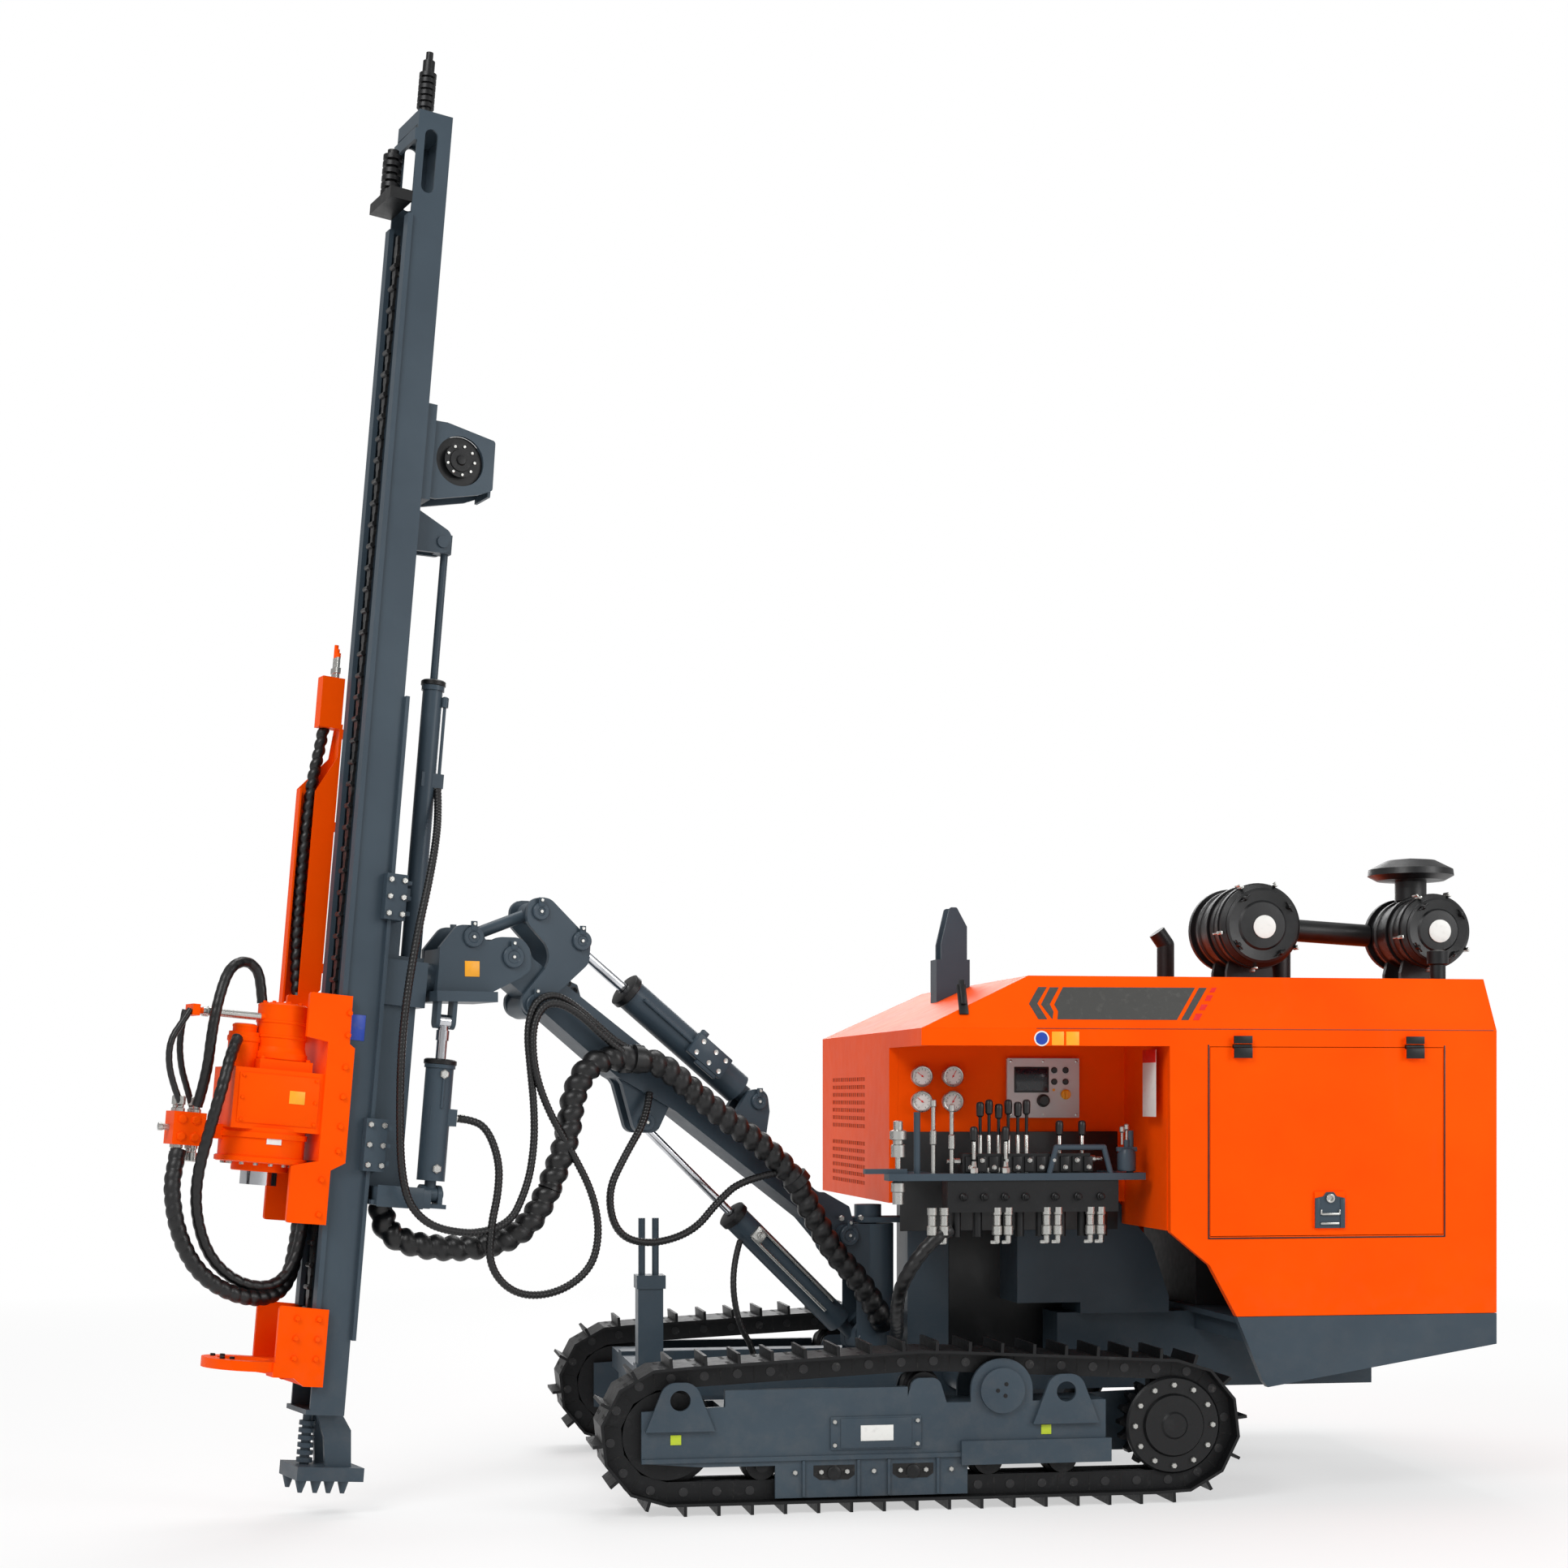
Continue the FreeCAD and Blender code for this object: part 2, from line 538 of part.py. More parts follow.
def make_barrel(base, tip, eye, half, radius, bore, first, last, pin):
    """Cylinder barrel with its base eye; it starts and ends at distances from the base pin."""
    shape = fuse(
        rod(along(base, tip, 0), along(base, tip, first + 5), half - 1),
        rod(along(base, tip, first), along(base, tip, last), radius),
        arm_disc(base, eye, half),
    )
    shape = fuse(shape, rod(along(base, tip, last - 30), along(base, tip, last), radius + 5))
    shape = shape.cut(rod(along(base, tip, first + 30), along(base, tip, last + 20), bore))
    side = arm_disc(base, eye + 20, 200, half).fuse(arm_disc(base, eye + 20, -half, -200))
    shape = shape.cut(side)
    return shape.cut(arm_disc(base, pin + RUNNING_GAP, half + 1))


def make_rod(base, tip, eye, half, radius, first):
    """Piston rod from inside the barrel to a plain eye between its ears."""
    return fuse(
        rod(along(base, tip, first), along(base, tip, pins_apart(base, tip)), radius),
        arm_disc(tip, eye, half),
    )


LIFT_FIRST, LIFT_LAST = 128.0, 861.0
PITCH_FIRST, PITCH_LAST = 92.0, 786.0
save("swing_base", make_swing_base(), frame=ARM)
save("boom", make_boom(), frame=ARM)
save("lift_barrel", make_barrel(LIFT_BASE, LIFT_ROD_PIN, 45, LIFT_EYE_HALF, LIFT_BARREL,
                                LIFT_ROD + RUNNING_GAP, LIFT_FIRST, LIFT_LAST, SMALL_PIN), frame=ARM)
save("lift_rod", make_rod(LIFT_BASE, LIFT_ROD_PIN, 42, LIFT_EYE_HALF, LIFT_ROD, 420), frame=ARM)
save("pitch_barrel", make_barrel(PITCH_BASE, PITCH_ROD_PIN, 48, PITCH_EYE_HALF, PITCH_BARREL,
                                 PITCH_ROD + RUNNING_GAP, PITCH_FIRST, PITCH_LAST, SMALL_PIN), frame=ARM)
pitch_rod = fuse(
    make_rod(PITCH_BASE, PITCH_ROD_PIN, 42, LIFT_EYE_HALF, PITCH_ROD, 370),
    arm_disc(PITCH_ROD_PIN, SMALL_PIN, CHEEK_INNER - RUNNING_GAP),
)
save("pitch_rod", pitch_rod, frame=ARM)

# Boom swing cylinder lies level behind the swing base
swing_ear = ARM.multVec(V(0, EAR_REACH, SWING_CYL_Z))
swing_foot = V(SWING_BASE_X, SWING_BASE_Y, SWING_CYL_Z)
swing_way = (swing_ear - swing_foot).normalize()


def swing_point(distance):
    return tuple(swing_foot + swing_way * distance)


def level_disc(centre, radius, half):
    return rod((centre[0], centre[1], SWING_CYL_Z - half), (centre[0], centre[1], SWING_CYL_Z + half), radius)


swing_barrel = fuse(level_disc(swing_foot, 38, EYE_HALF), rod(swing_point(20), swing_point(62), 22),
                    rod(swing_point(60), swing_point(480), 45))
swing_barrel = swing_barrel.cut(rod(swing_point(80), swing_point(500), 18 + RUNNING_GAP))
swing_barrel = swing_barrel.cut(level_disc(swing_foot, 20 + RUNNING_GAP, EYE_HALF + 1))
save("boom_swing_barrel", swing_barrel)
swing_rod = fuse(level_disc(swing_ear, 36, EYE_HALF), rod(swing_point(300), tuple(swing_ear), 18))
save("boom_swing_rod", swing_rod)


def make_rocker():
    outline = [
        (1607, 2545, 60), (1420, 2370, 60), (1427, 2273, 60), (1600, 2120, 40), (1640, 2030, 50),
        (1735, 2060, 60), (1730, 2129, 30), (1580, 2303, 90), (1712, 2440, 60), (1705, 2545, 56),
    ]
    pieces = arm_pair(outline, CHEEK_INNER, CHEEK_OUTER)
    pieces.append(arm_disc(ROCKER_TOP, SMALL_PIN, CHEEK_OUTER + 8))
    rocker = fuse(*pieces)
    rocker = rocker.cut(arm_disc(ROCKER_PIN, BIG_PIN + RUNNING_GAP, CHEEK_OUTER + 1))
    return fuse(rocker, *[cap for cap in (
        arm_disc(PITCH_ROD_PIN, 30, CHEEK_OUTER + 8, CHEEK_OUTER - 1),
        arm_disc(PITCH_ROD_PIN, 30, -CHEEK_OUTER + 1, -CHEEK_OUTER - 8))])


def make_link():
    link = fuse(
        rod(along(ROCKER_TOP, KNUCKLE_PIN, 0), along(ROCKER_TOP, KNUCKLE_PIN,
                                                      pins_apart(ROCKER_TOP, KNUCKLE_PIN)), 26),
        arm_disc(ROCKER_TOP, 44, PITCH_EYE_HALF),
        arm_disc(KNUCKLE_PIN, 42, PITCH_EYE_HALF),
        arm_disc(KNUCKLE_PIN, SMALL_PIN, CHEEK_INNER - RUNNING_GAP),
    )
    return link.cut(arm_disc(ROCKER_TOP, SMALL_PIN + RUNNING_GAP, PITCH_EYE_HALF + 1))


save("rocker", make_rocker(), frame=ARM)
save("rocker_link", make_link(), frame=ARM)

# Mast frame: x is the rearward normal and z runs up the mast from the swing pin
BEAM_FRONT = -385.0
BEAM_REAR = -240.0
BEAM_HALF = 130.0
BEAM_WALL = 12.0
BEAM_FOOT = -1787.0
BEAM_TOP = 3560.0
RAIL_LOW = -1380.0
RAIL_HIGH = 3119.0
RAIL_FRONT = BEAM_FRONT - 15.0
RAIL_BACK = BEAM_FRONT + 6.0
RAIL_WIDTH = 38.0
RAIL_OVERHANG = 12.0
SLIDE_HALF = 152.0
SLIDE_THICKNESS = 16.0
SLIDE_LOW = -1500.0
SLIDE_HIGH = 1140.0
PIVOT_FACE = 12.0
PIVOT_DISC = 72.0
MAST_PIN = 40.0
SUPPORT_HALF = 70.0
COMP_X = -75.0
COMP_BARREL = 42.0
COMP_ROD = 16.0
COMP_LOW = 86.0
COMP_HIGH = 1247.0
COMP_LUG = 1822.0
SIDE_CYL_X = 45.0
SIDE_CYL_Y = -130.0
SIDE_CYL_BASE = -885.0
SIDE_CYL_EYE = -170.0
SIDE_BARREL = 58.0
SIDE_ROD = 22.0


def up_mast(points):
    """Turn (up the mast, rearward) rows into the mast frame's x and z."""
    return [(p[1], p[0]) + tuple(p[2:]) for p in points]


def mast_plate(points, y0, y1):
    return plate(up_mast(points), y0, y1)


def mast_box(m0, m1, n0, n1, y0, y1):
    return box(n0, n1, y0, y1, m0, m1)


def mast_rod(start, end, radius):
    """Cylinder between two points given as (up the mast, rearward, sideways)."""
    return rod((start[1], start[2], start[0]), (end[1], end[2], end[0]), radius)


def make_knuckle():
    """Two cheeks over the boom's head, a channel under them and the mast's swing pin in front."""
    outline = [
        (2109, 2140), (2099, 2325, 6), (2020, 2420, 52), (1915, 2420, 50), (1892, 2335, 20),
        (1855, 2374, 80), (1700, 2374, 75), (1692, 2240, 40), (1740, 2205, 30), (1870, 2140, 30),
    ]
    cheeks = [piece for piece in arm_pair(outline, CHEEK_INNER, CHEEK_OUTER)]
    cheeks.append(box(-2135, -1868, SIDE_CYL_Y - 46, CHEEK_OUTER, 2098, 2141))
    cheeks.append(arm_disc(HEAD_PIN, BIG_PIN, CHEEK_OUTER + 8))
    for low, high in ((CHEEK_OUTER - 1, CHEEK_OUTER + 6), (-CHEEK_OUTER - 6, -CHEEK_OUTER + 1)):
        cheeks.append(arm_disc(KNUCKLE_PIN, 32, high, low))
    front = MAST.inverse().multiply(ARM)
    body = fuse(*cheeks).transformed(front.toMatrix())
    pieces = [body, mast_box(-60, 130, PIVOT_FACE, PIVOT_FACE + THICK_PLATE, -CHEEK_OUTER, CHEEK_OUTER)]
    pieces.append(mast_rod((0, -PIVOT_FACE, 0), (0, PIVOT_FACE + 2, 0), PIVOT_DISC))
    pieces.append(mast_rod((0, -215, 0), (0, 0, 0), MAST_PIN))
    for near, far in ((-EYE_HALF - 18, -EYE_HALF - RUNNING_GAP), (EYE_HALF + RUNNING_GAP, EYE_HALF + 18)):
        x0, x1 = SIDE_CYL_X + near, SIDE_CYL_X + far
        ear = fuse(
            mast_box(SIDE_CYL_EYE, -70, x0, x1, SIDE_CYL_Y - 32, SIDE_CYL_Y + 32),
            mast_rod((SIDE_CYL_EYE, x0, SIDE_CYL_Y), (SIDE_CYL_EYE, x1, SIDE_CYL_Y), 32),
        )
        pieces.append(ear)
    return fuse(*pieces)


def make_mast_support():
    """Box on the swing pin, column below it and two clamps that hold the beam's slide strip."""
    bore = MAST_PIN + RUNNING_GAP
    face = -PIVOT_FACE - RUNNING_GAP
    pieces = [
        mast_box(-123, 65, BEAM_REAR + 22, -31, -SUPPORT_HALF - 30, SUPPORT_HALF + 30),
        mast_rod((0, -32, 0), (0, face, 0), PIVOT_DISC),
        mast_box(-943, -122, BEAM_REAR + 22, -60, -SUPPORT_HALF, SUPPORT_HALF),
        mast_box(64, 330, BEAM_REAR + 22, -150, -SUPPORT_HALF, SUPPORT_HALF),
        mast_box(64, COMP_LOW, -150, COMP_X + COMP_BARREL, -COMP_BARREL, COMP_BARREL),
    ]
    # Clamps: block behind the strip, side cheeks and lips in front of it
    lip = BEAM_REAR - RUNNING_GAP
    back = BEAM_REAR + SLIDE_THICKNESS + RUNNING_GAP
    for low, high in ((218.0, 406.0), (-810.0, -596.0)):
        outer = SLIDE_HALF + RUNNING_GAP + 26
        pieces.append(mast_box(low, high, back, back + 48, -outer, outer))
        for cheek in both_sides(mast_box(low, high, lip - 24, back + 48, SLIDE_HALF + RUNNING_GAP, outer)):
            pieces.append(cheek)
        for strip in both_sides(mast_box(low, high, lip - 24, lip, BEAM_HALF + 3, outer)):
            pieces.append(strip)
        count = 3
        for i in range(count):
            m = low + (high - low) * (i + 0.5) / count
            for rib in both_sides(mast_box(m - 8, m + 8, back + 40, -155, SUPPORT_HALF - 2, outer - 4)):
                pieces.append(rib)
    # Bracket at the foot for the mast swing cylinder
    shelf = mast_box(-943, -925, BEAM_REAR + 22, SIDE_CYL_X + 60, SIDE_CYL_Y - 46, SUPPORT_HALF)
    pieces.append(shelf)
    for near, far in ((-EYE_HALF - 20, -EYE_HALF - RUNNING_GAP), (EYE_HALF + RUNNING_GAP, EYE_HALF + 20)):
        x0, x1 = SIDE_CYL_X + near, SIDE_CYL_X + far
        pieces.append(mast_box(-930, SIDE_CYL_BASE, x0, x1, SIDE_CYL_Y - 38, SIDE_CYL_Y + 38))
        pieces.append(mast_rod((SIDE_CYL_BASE, x0, SIDE_CYL_Y), (SIDE_CYL_BASE, x1, SIDE_CYL_Y), 38))
    pin = mast_rod((SIDE_CYL_BASE, SIDE_CYL_X - 50, SIDE_CYL_Y), (SIDE_CYL_BASE, SIDE_CYL_X + 54, SIDE_CYL_Y), 20)
    pieces.append(pin)
    support = fuse(*pieces)
    return support.cut(mast_rod((0, -230, 0), (0, 0, 0), bore))


def make_compensation_barrel():
    low = (COMP_LOW + RUNNING_GAP, COMP_X, 0)
    high = (COMP_HIGH, COMP_X, 0)
    barrel = fuse(
        mast_rod(low, high, COMP_BARREL),
        mast_rod((COMP_HIGH - 40, COMP_X, 0), high, COMP_BARREL + 6),
        mast_box(800, 860, COMP_X - 30, COMP_X + COMP_BARREL + 24, -38, 38),
        mast_box(330, 370, -165, COMP_X, -25, 25),
    )
    return barrel.cut(mast_rod((COMP_LOW + 60, COMP_X, 0), (COMP_HIGH + 5, COMP_X, 0), COMP_ROD + RUNNING_GAP))


def make_side_barrel():
    """Barrel of the mast swing cylinder with its port block."""
    barrel = fuse(
        mast_rod((SIDE_CYL_BASE, SIDE_CYL_X - EYE_HALF, SIDE_CYL_Y),
                 (SIDE_CYL_BASE, SIDE_CYL_X + EYE_HALF, SIDE_CYL_Y), 34),
        mast_rod((SIDE_CYL_BASE + 20, SIDE_CYL_X, SIDE_CYL_Y), (-826, SIDE_CYL_X, SIDE_CYL_Y), 24),
        mast_rod((-830, SIDE_CYL_X, SIDE_CYL_Y), (-330, SIDE_CYL_X, SIDE_CYL_Y), SIDE_BARREL),
        mast_rod((-365, SIDE_CYL_X, SIDE_CYL_Y), (-330, SIDE_CYL_X, SIDE_CYL_Y), SIDE_BARREL + 6),
        mast_box(-600, -530, SIDE_CYL_X - 40, SIDE_CYL_X + SIDE_BARREL + 18, SIDE_CYL_Y - 44, SIDE_CYL_Y + 44),
    )
    bore = mast_rod((-800, SIDE_CYL_X, SIDE_CYL_Y), (-320, SIDE_CYL_X, SIDE_CYL_Y), SIDE_ROD + RUNNING_GAP)
    pin = mast_rod((SIDE_CYL_BASE, SIDE_CYL_X - 30, SIDE_CYL_Y), (SIDE_CYL_BASE, SIDE_CYL_X + 30, SIDE_CYL_Y),
                   20 + RUNNING_GAP)
    return barrel.cut(bore).cut(pin)


def make_side_rod():
    return fuse(
        mast_rod((-640, SIDE_CYL_X, SIDE_CYL_Y), (SIDE_CYL_EYE, SIDE_CYL_X, SIDE_CYL_Y), SIDE_ROD),
        mast_rod((SIDE_CYL_EYE, SIDE_CYL_X - EYE_HALF, SIDE_CYL_Y),
                 (SIDE_CYL_EYE, SIDE_CYL_X + EYE_HALF, SIDE_CYL_Y), 28),
        mast_rod((SIDE_CYL_EYE - 80, SIDE_CYL_X, SIDE_CYL_Y), (SIDE_CYL_EYE - 38, SIDE_CYL_X, SIDE_CYL_Y), 27),
    )


save("knuckle", make_knuckle(), frame=MAST)
save("mast_support", make_mast_support(), frame=MAST)
save("compensation_barrel", make_compensation_barrel(), frame=MAST)
save("mast_swing_barrel", make_side_barrel(), frame=MAST)
save("mast_swing_rod", make_side_rod(), frame=MAST)


def make_feed_beam():
    """Channel open to the front with rails, a slide strip behind and the compensation rod's lug."""
    beam = mast_box(BEAM_FOOT, BEAM_TOP, BEAM_FRONT, BEAM_REAR, -BEAM_HALF, BEAM_HALF)
    inside = BEAM_HALF - BEAM_WALL
    beam = beam.cut(mast_box(BEAM_FOOT - 1, BEAM_TOP - 60, BEAM_FRONT - 1, BEAM_REAR - BEAM_WALL, -inside, inside))
    slot = fuse(
        mast_box(3250, 3460, -353, -297, -BEAM_HALF - 1, BEAM_HALF + 1),
        mast_rod((3250, -325, -BEAM_HALF - 1), (3250, -325, BEAM_HALF + 1), 28),
        mast_rod((3460, -325, -BEAM_HALF - 1), (3460, -325, BEAM_HALF + 1), 28),
    )
    pieces = [beam.cut(slot)]
    for rail in both_sides(mast_box(RAIL_LOW, RAIL_HIGH, RAIL_FRONT, RAIL_BACK,
                                    BEAM_HALF - RAIL_WIDTH, BEAM_HALF + RAIL_OVERHANG)):
        pieces.append(rail)
    pieces.append(mast_box(SLIDE_LOW, SLIDE_HIGH, BEAM_REAR, BEAM_REAR + SLIDE_THICKNESS, -SLIDE_HALF, SLIDE_HALF))
    pieces.append(mast_box(3430, 3480, BEAM_FRONT - 12, BEAM_FRONT + 1, -BEAM_HALF, BEAM_HALF))
    # Lug and rod of the compensation cylinder
    lug = [(1936, -214), (1936, -242), (1700, -242), (1769, -213), (1779, -66, 42), (1868, -66, 42)]
    for y0, y1 in ((LIFT_EYE_HALF, LIFT_EYE_HALF + 20), (-LIFT_EYE_HALF - 20, -LIFT_EYE_HALF)):
        pieces.append(mast_plate(lug, y0, y1))
    pieces.append(mast_box(1700, 1940, BEAM_REAR - 1, BEAM_REAR + 16, -60, 60))
    pieces.append(mast_rod((COMP_LUG, -105, -60), (COMP_LUG, -105, 60), 24))
    pieces.append(mast_rod((670, COMP_X, 0), (1800, COMP_X, 0), COMP_ROD))
    pieces.append(mast_box(1780, 1862, -122, -56, -LIFT_EYE_HALF - 1, LIFT_EYE_HALF + 1))
    return fuse(*pieces)


def make_feed_drive():
    """Guard box with a round opening each side and the winding motor inside it."""
    outline = [(2308, -203), (2311, -139, 10), (2275, 77, 14), (2067, 81, 14), (2038, 22, 8), (1986, -163), (1986, -203)]
    sides = pair(up_mast(outline), 74, 90)
    pieces = [side.cut(mast_rod((2162, -72, -100), (2162, -72, 100), 104)) for side in sides]
    pieces.append(mast_box(1970, 2368, BEAM_REAR + RUNNING_GAP, -196, -110, 110))
    pieces.append(mast_box(2040, 2262, 66, 78, -76, 76))
    guard = fuse(*pieces)
    hub = [(0, -96), (40, -96), (52, -84), (52, -70), (75, -70), (75, 70), (52, 70), (52, 84), (0, 84)]
    motor = turned(hub, (-72, 0, 2162), (0, 1, 0))
    carrier = mast_box(2142, 2182, -210, -130, -40, 40)
    return fuse(guard, motor, carrier)


def stack(sections, n, y=0.0):
    """Stacked discs along the mast: rows are (from, to, radius)."""
    return fuse(*[mast_rod((low, n, y), (high, n, y), radius) for low, high, radius in sections])


def make_tensioners():
    """Screw and springs at the beam's top, in front of the top and under the foot."""
    rings = [(BEAM_TOP + RUNNING_GAP, 3625.0, 26.0)]
    for i in range(6):
        rings.append((3620.0 + 26 * i, 3620.0 + 26 * i + 17, 36.0))
    rings += [(3600.0, 3821.0, 25.0), (3820.0, 3858.0, 15.0)]
    top = stack(rings, -320)
    front = [(3190.0, 3410.0, 24.0)] + [(3219.0 + 30 * i, 3219.0 + 30 * i + 18, 40.0) for i in range(6)]
    front = fuse(stack(front, -440), mast_box(3170, 3215, -480, BEAM_FRONT - RUNNING_GAP, -BEAM_HALF, BEAM_HALF))
    foot = [(-2030.0, -1806.0, 20.0)] + [(-2010.0 + 30 * i, -2010.0 + 30 * i + 18, 33.0) for i in range(6)]
    return [top, front], stack(foot, -350)


save("feed_beam", make_feed_beam(), frame=MAST)
save("feed_drive", make_feed_drive(), frame=MAST)
top_screws, foot_spring = make_tensioners()
save("chain_tensioners", *top_screws, frame=MAST)

# Chain, foot, centraliser and hose trough on the beam
CHAIN_PITCH = 90.0
CHAIN_LINKS = 53
CHAIN_LOW = -1700.0
CHAIN_HALF = 20.0
CHAIN_WAIST = 13.0
CHAIN_DEPTH = 12.0
DRILL_AXIS = -640.0
TROUGH_NEAR = 240.0
TROUGH_FAR = 320.0
TROUGH_WALL = 8.0


def front_plate(points, n0, n1):
    """Solid with an outline of (sideways, up the mast), between two levels of the normal."""
    solid = plate(points, -n1, -n0)
    solid.Placement = FreeCAD.Placement(V(0, 0, 0), FreeCAD.Rotation(V(0, 0, 1), 90))
    return solid


def make_chain():
    right = []
    for i in range(CHAIN_LINKS):
        m = CHAIN_LOW + i * CHAIN_PITCH
        for share, half in ((0.0, CHAIN_HALF), (0.4, CHAIN_HALF), (0.5, CHAIN_WAIST), (0.9, CHAIN_WAIST)):
            right.append((half, m + share * CHAIN_PITCH))
    left = [(-y, m) for y, m in reversed(right)]
    strand = front_plate(right + left, BEAM_FRONT - CHAIN_DEPTH + 2, BEAM_FRONT + 2)
    high = CHAIN_LOW + CHAIN_LINKS * CHAIN_PITCH
    pieces = [strand]
    # Guide wheels at both ends stand on the channel's back
    for m in (CHAIN_LOW + 70, high - 120):
        pieces.append(mast_rod((m, BEAM_FRONT + 62, -16), (m, BEAM_FRONT + 62, 16), 63))
        pieces.append(mast_rod((m, BEAM_FRONT + 62, -BEAM_HALF + BEAM_WALL + RUNNING_GAP),
                               (m, BEAM_FRONT + 62, BEAM_HALF - BEAM_WALL - RUNNING_GAP), 20))
    return fuse(*pieces)


def make_foot(spring):
    side = [
        (BEAM_FOOT - 5, -240), (-1870, -188), (-2020, -175), (-2020, -285), (-1900, -300), (BEAM_FOOT - 5, -345),
    ]
    pieces = pair(up_mast(side), 58, 78)
    pieces.append(mast_box(BEAM_FOOT - 20, BEAM_FOOT, -402, BEAM_REAR, -BEAM_HALF, BEAM_HALF))
    pieces.append(mast_box(-2074, -2018, -413, -132, -120, 120))
    for n in (-385.0, -322.0, -266.0, -207.0):
        for y in (-85.0, 85.0):
            spike = Part.makeCone(9, 24, 52, V(n, y, -2125), V(0, 0, 1))
            pieces.append(spike)
    pieces.append(spring)
    return fuse(*pieces)


def make_centraliser():
    """Clamp round the beam's rails and a ring that guides the drill rod."""
    cheek = [(-1372, -555, 12), (-1380, -350), (-1692, -350), (-1692, -430), (-1600, -555, 12)]
    inner = BEAM_HALF + RAIL_OVERHANG + RUNNING_GAP
    pieces = pair(up_mast(cheek), inner, inner + 18)
    front = RAIL_FRONT - RUNNING_GAP
    pieces.append(mast_box(-1692, -1390, front - 22, front, -inner - 1, inner + 1))
    pieces.append(mast_box(-1660, -1600, -560, front - 20, -inner - 18, inner + 18))
    ring = fuse(
        mast_rod((-1640, DRILL_AXIS, 0), (-1600, DRILL_AXIS, 0), 165),
        mast_box(-1640, -1600, DRILL_AXIS, -540, -150, 150),
    )
    ring = ring.cut(mast_rod((-1661, DRILL_AXIS, 0), (-1599, DRILL_AXIS, 0), 104))
    block = fuse(*pieces).cut(mast_rod((-1661, DRILL_AXIS, 0), (-1599, DRILL_AXIS, 0), 104))
    return fuse(block, ring)


def make_trough():
    """Channel for the head's hoses on the beam's far side, with its brackets and end fittings."""
    near, far, wall = TROUGH_NEAR, TROUGH_FAR, TROUGH_WALL
    web = [(1050, -385), (1050, -373), (-72, -373), (-165, -467), (756, -467), (908, -385)]
    back = [(1050, -385), (1050, -373), (-72, -373), (-143, -524), (763, -524), (908, -400)]
    pieces = [
        mast_plate(web, near, near + wall),
        mast_plate(back, far - wall, far),
        mast_box(-143, 763, -524, -524 + wall, near + 30, far),
        mast_box(-72, 1050, -373 - wall, -373, near, far),
    ]
    for m in (20.0, 617.0, 1010.0):
        pieces.append(mast_box(m - 20, m + 20, -326, -290, BEAM_HALF + RUNNING_GAP, near + 20))
        pieces.append(mast_box(m - 20, m + 20, -374, -290, near, near + 20))
    pieces.append(mast_box(1030, 1243, -475, -380, near, far - 10))
    for i, y in enumerate((near + 22, near + 42, near + 62)):
        pieces.append(mast_rod((1240, -410, y), (1350 + 20 * i, -410, y), 9))
    return fuse(*pieces)


save("feed_chain", make_chain(), frame=MAST)
save("mast_foot", make_foot(foot_spring), frame=MAST)
save("centraliser", make_centraliser(), frame=MAST)
save("hose_trough", make_trough(), frame=MAST)

# Carriage and rotary head
CARRIAGE_GAP = 1.0
CHEEK_SIDE = BEAM_HALF + RAIL_OVERHANG + CARRIAGE_GAP
CARRIAGE_FRONT = -449.0
CARRIAGE_BACK = RAIL_FRONT - 6.0
DRUM_RADIUS = 172.0
SPINDLE_RADIUS = 58.0


def make_carriage():
    cheek = [
        (-110, -540, 12), (-110, -362), (-304, -359), (-320, -336), (-786, -336), (-820, -395), (-1040, -395),
        (-1040, -560, 12), (-812, -560), (-786, CARRIAGE_FRONT), (-304, CARRIAGE_FRONT), (-290, -540),
    ]
    pieces = pair(up_mast(cheek), CHEEK_SIDE, CHEEK_SIDE + 22)
    pieces.append(mast_box(-786, -130, CARRIAGE_FRONT, CARRIAGE_BACK, -CHEEK_SIDE - 1, CHEEK_SIDE + 1))
    pieces.append(mast_box(-1030, -980, -440, CARRIAGE_BACK, -CHEEK_SIDE - 1, CHEEK_SIDE + 1))
    lip_front = RAIL_BACK + CARRIAGE_GAP
    for low, high in ((-290.0, -130.0), (-770.0, -620.0)):
        for lip in both_sides(mast_box(low, high, lip_front, lip_front + 20, BEAM_HALF + 1.5, CHEEK_SIDE + 1)):
            pieces.append(lip)
    return fuse(*pieces)


def make_head():
    """Gear case with two motors on top, drum below, pipes and the valve block in front."""
    n = DRILL_AXIS
    pieces = [
        mast_box(-678, -435, -814, CARRIAGE_FRONT, -150, 150),
        mast_rod((-805, n, 0), (-670, n, 0), DRUM_RADIUS),
        mast_rod((-712, n, 0), (-690, n, 0), DRUM_RADIUS + 8),
        mast_rod((-843, n, 0), (-800, n, 0), 107),
        mast_box(-436, -393, -706, -488, -110, 110),
        mast_rod((-394, -597, 0), (-170, -597, 0), 100),
        mast_rod((-438, -748, 0), (-290, -748, 0), 62),
        mast_rod((-291, -748, 0), (-266, -748, 0), 48),
        mast_box(-763, -631, -1020, -890, -66, 66),
        mast_rod((-697, -1061, 0), (-697, -1015, 0), 12),
        mast_box(-727, -667, -895, -800, -30, 30),
    ]
    for y in (-40.0, 40.0):
        pieces.append(mast_rod((-223, -650, y), (-223, -968, y), 12))
    pieces.append(mast_box(-245, -200, -980, -950, -58, 58))
    head = fuse(*pieces)
    return head.cut(mast_rod((-850, n, 0), (-520, n, 0), SPINDLE_RADIUS + RUNNING_GAP))


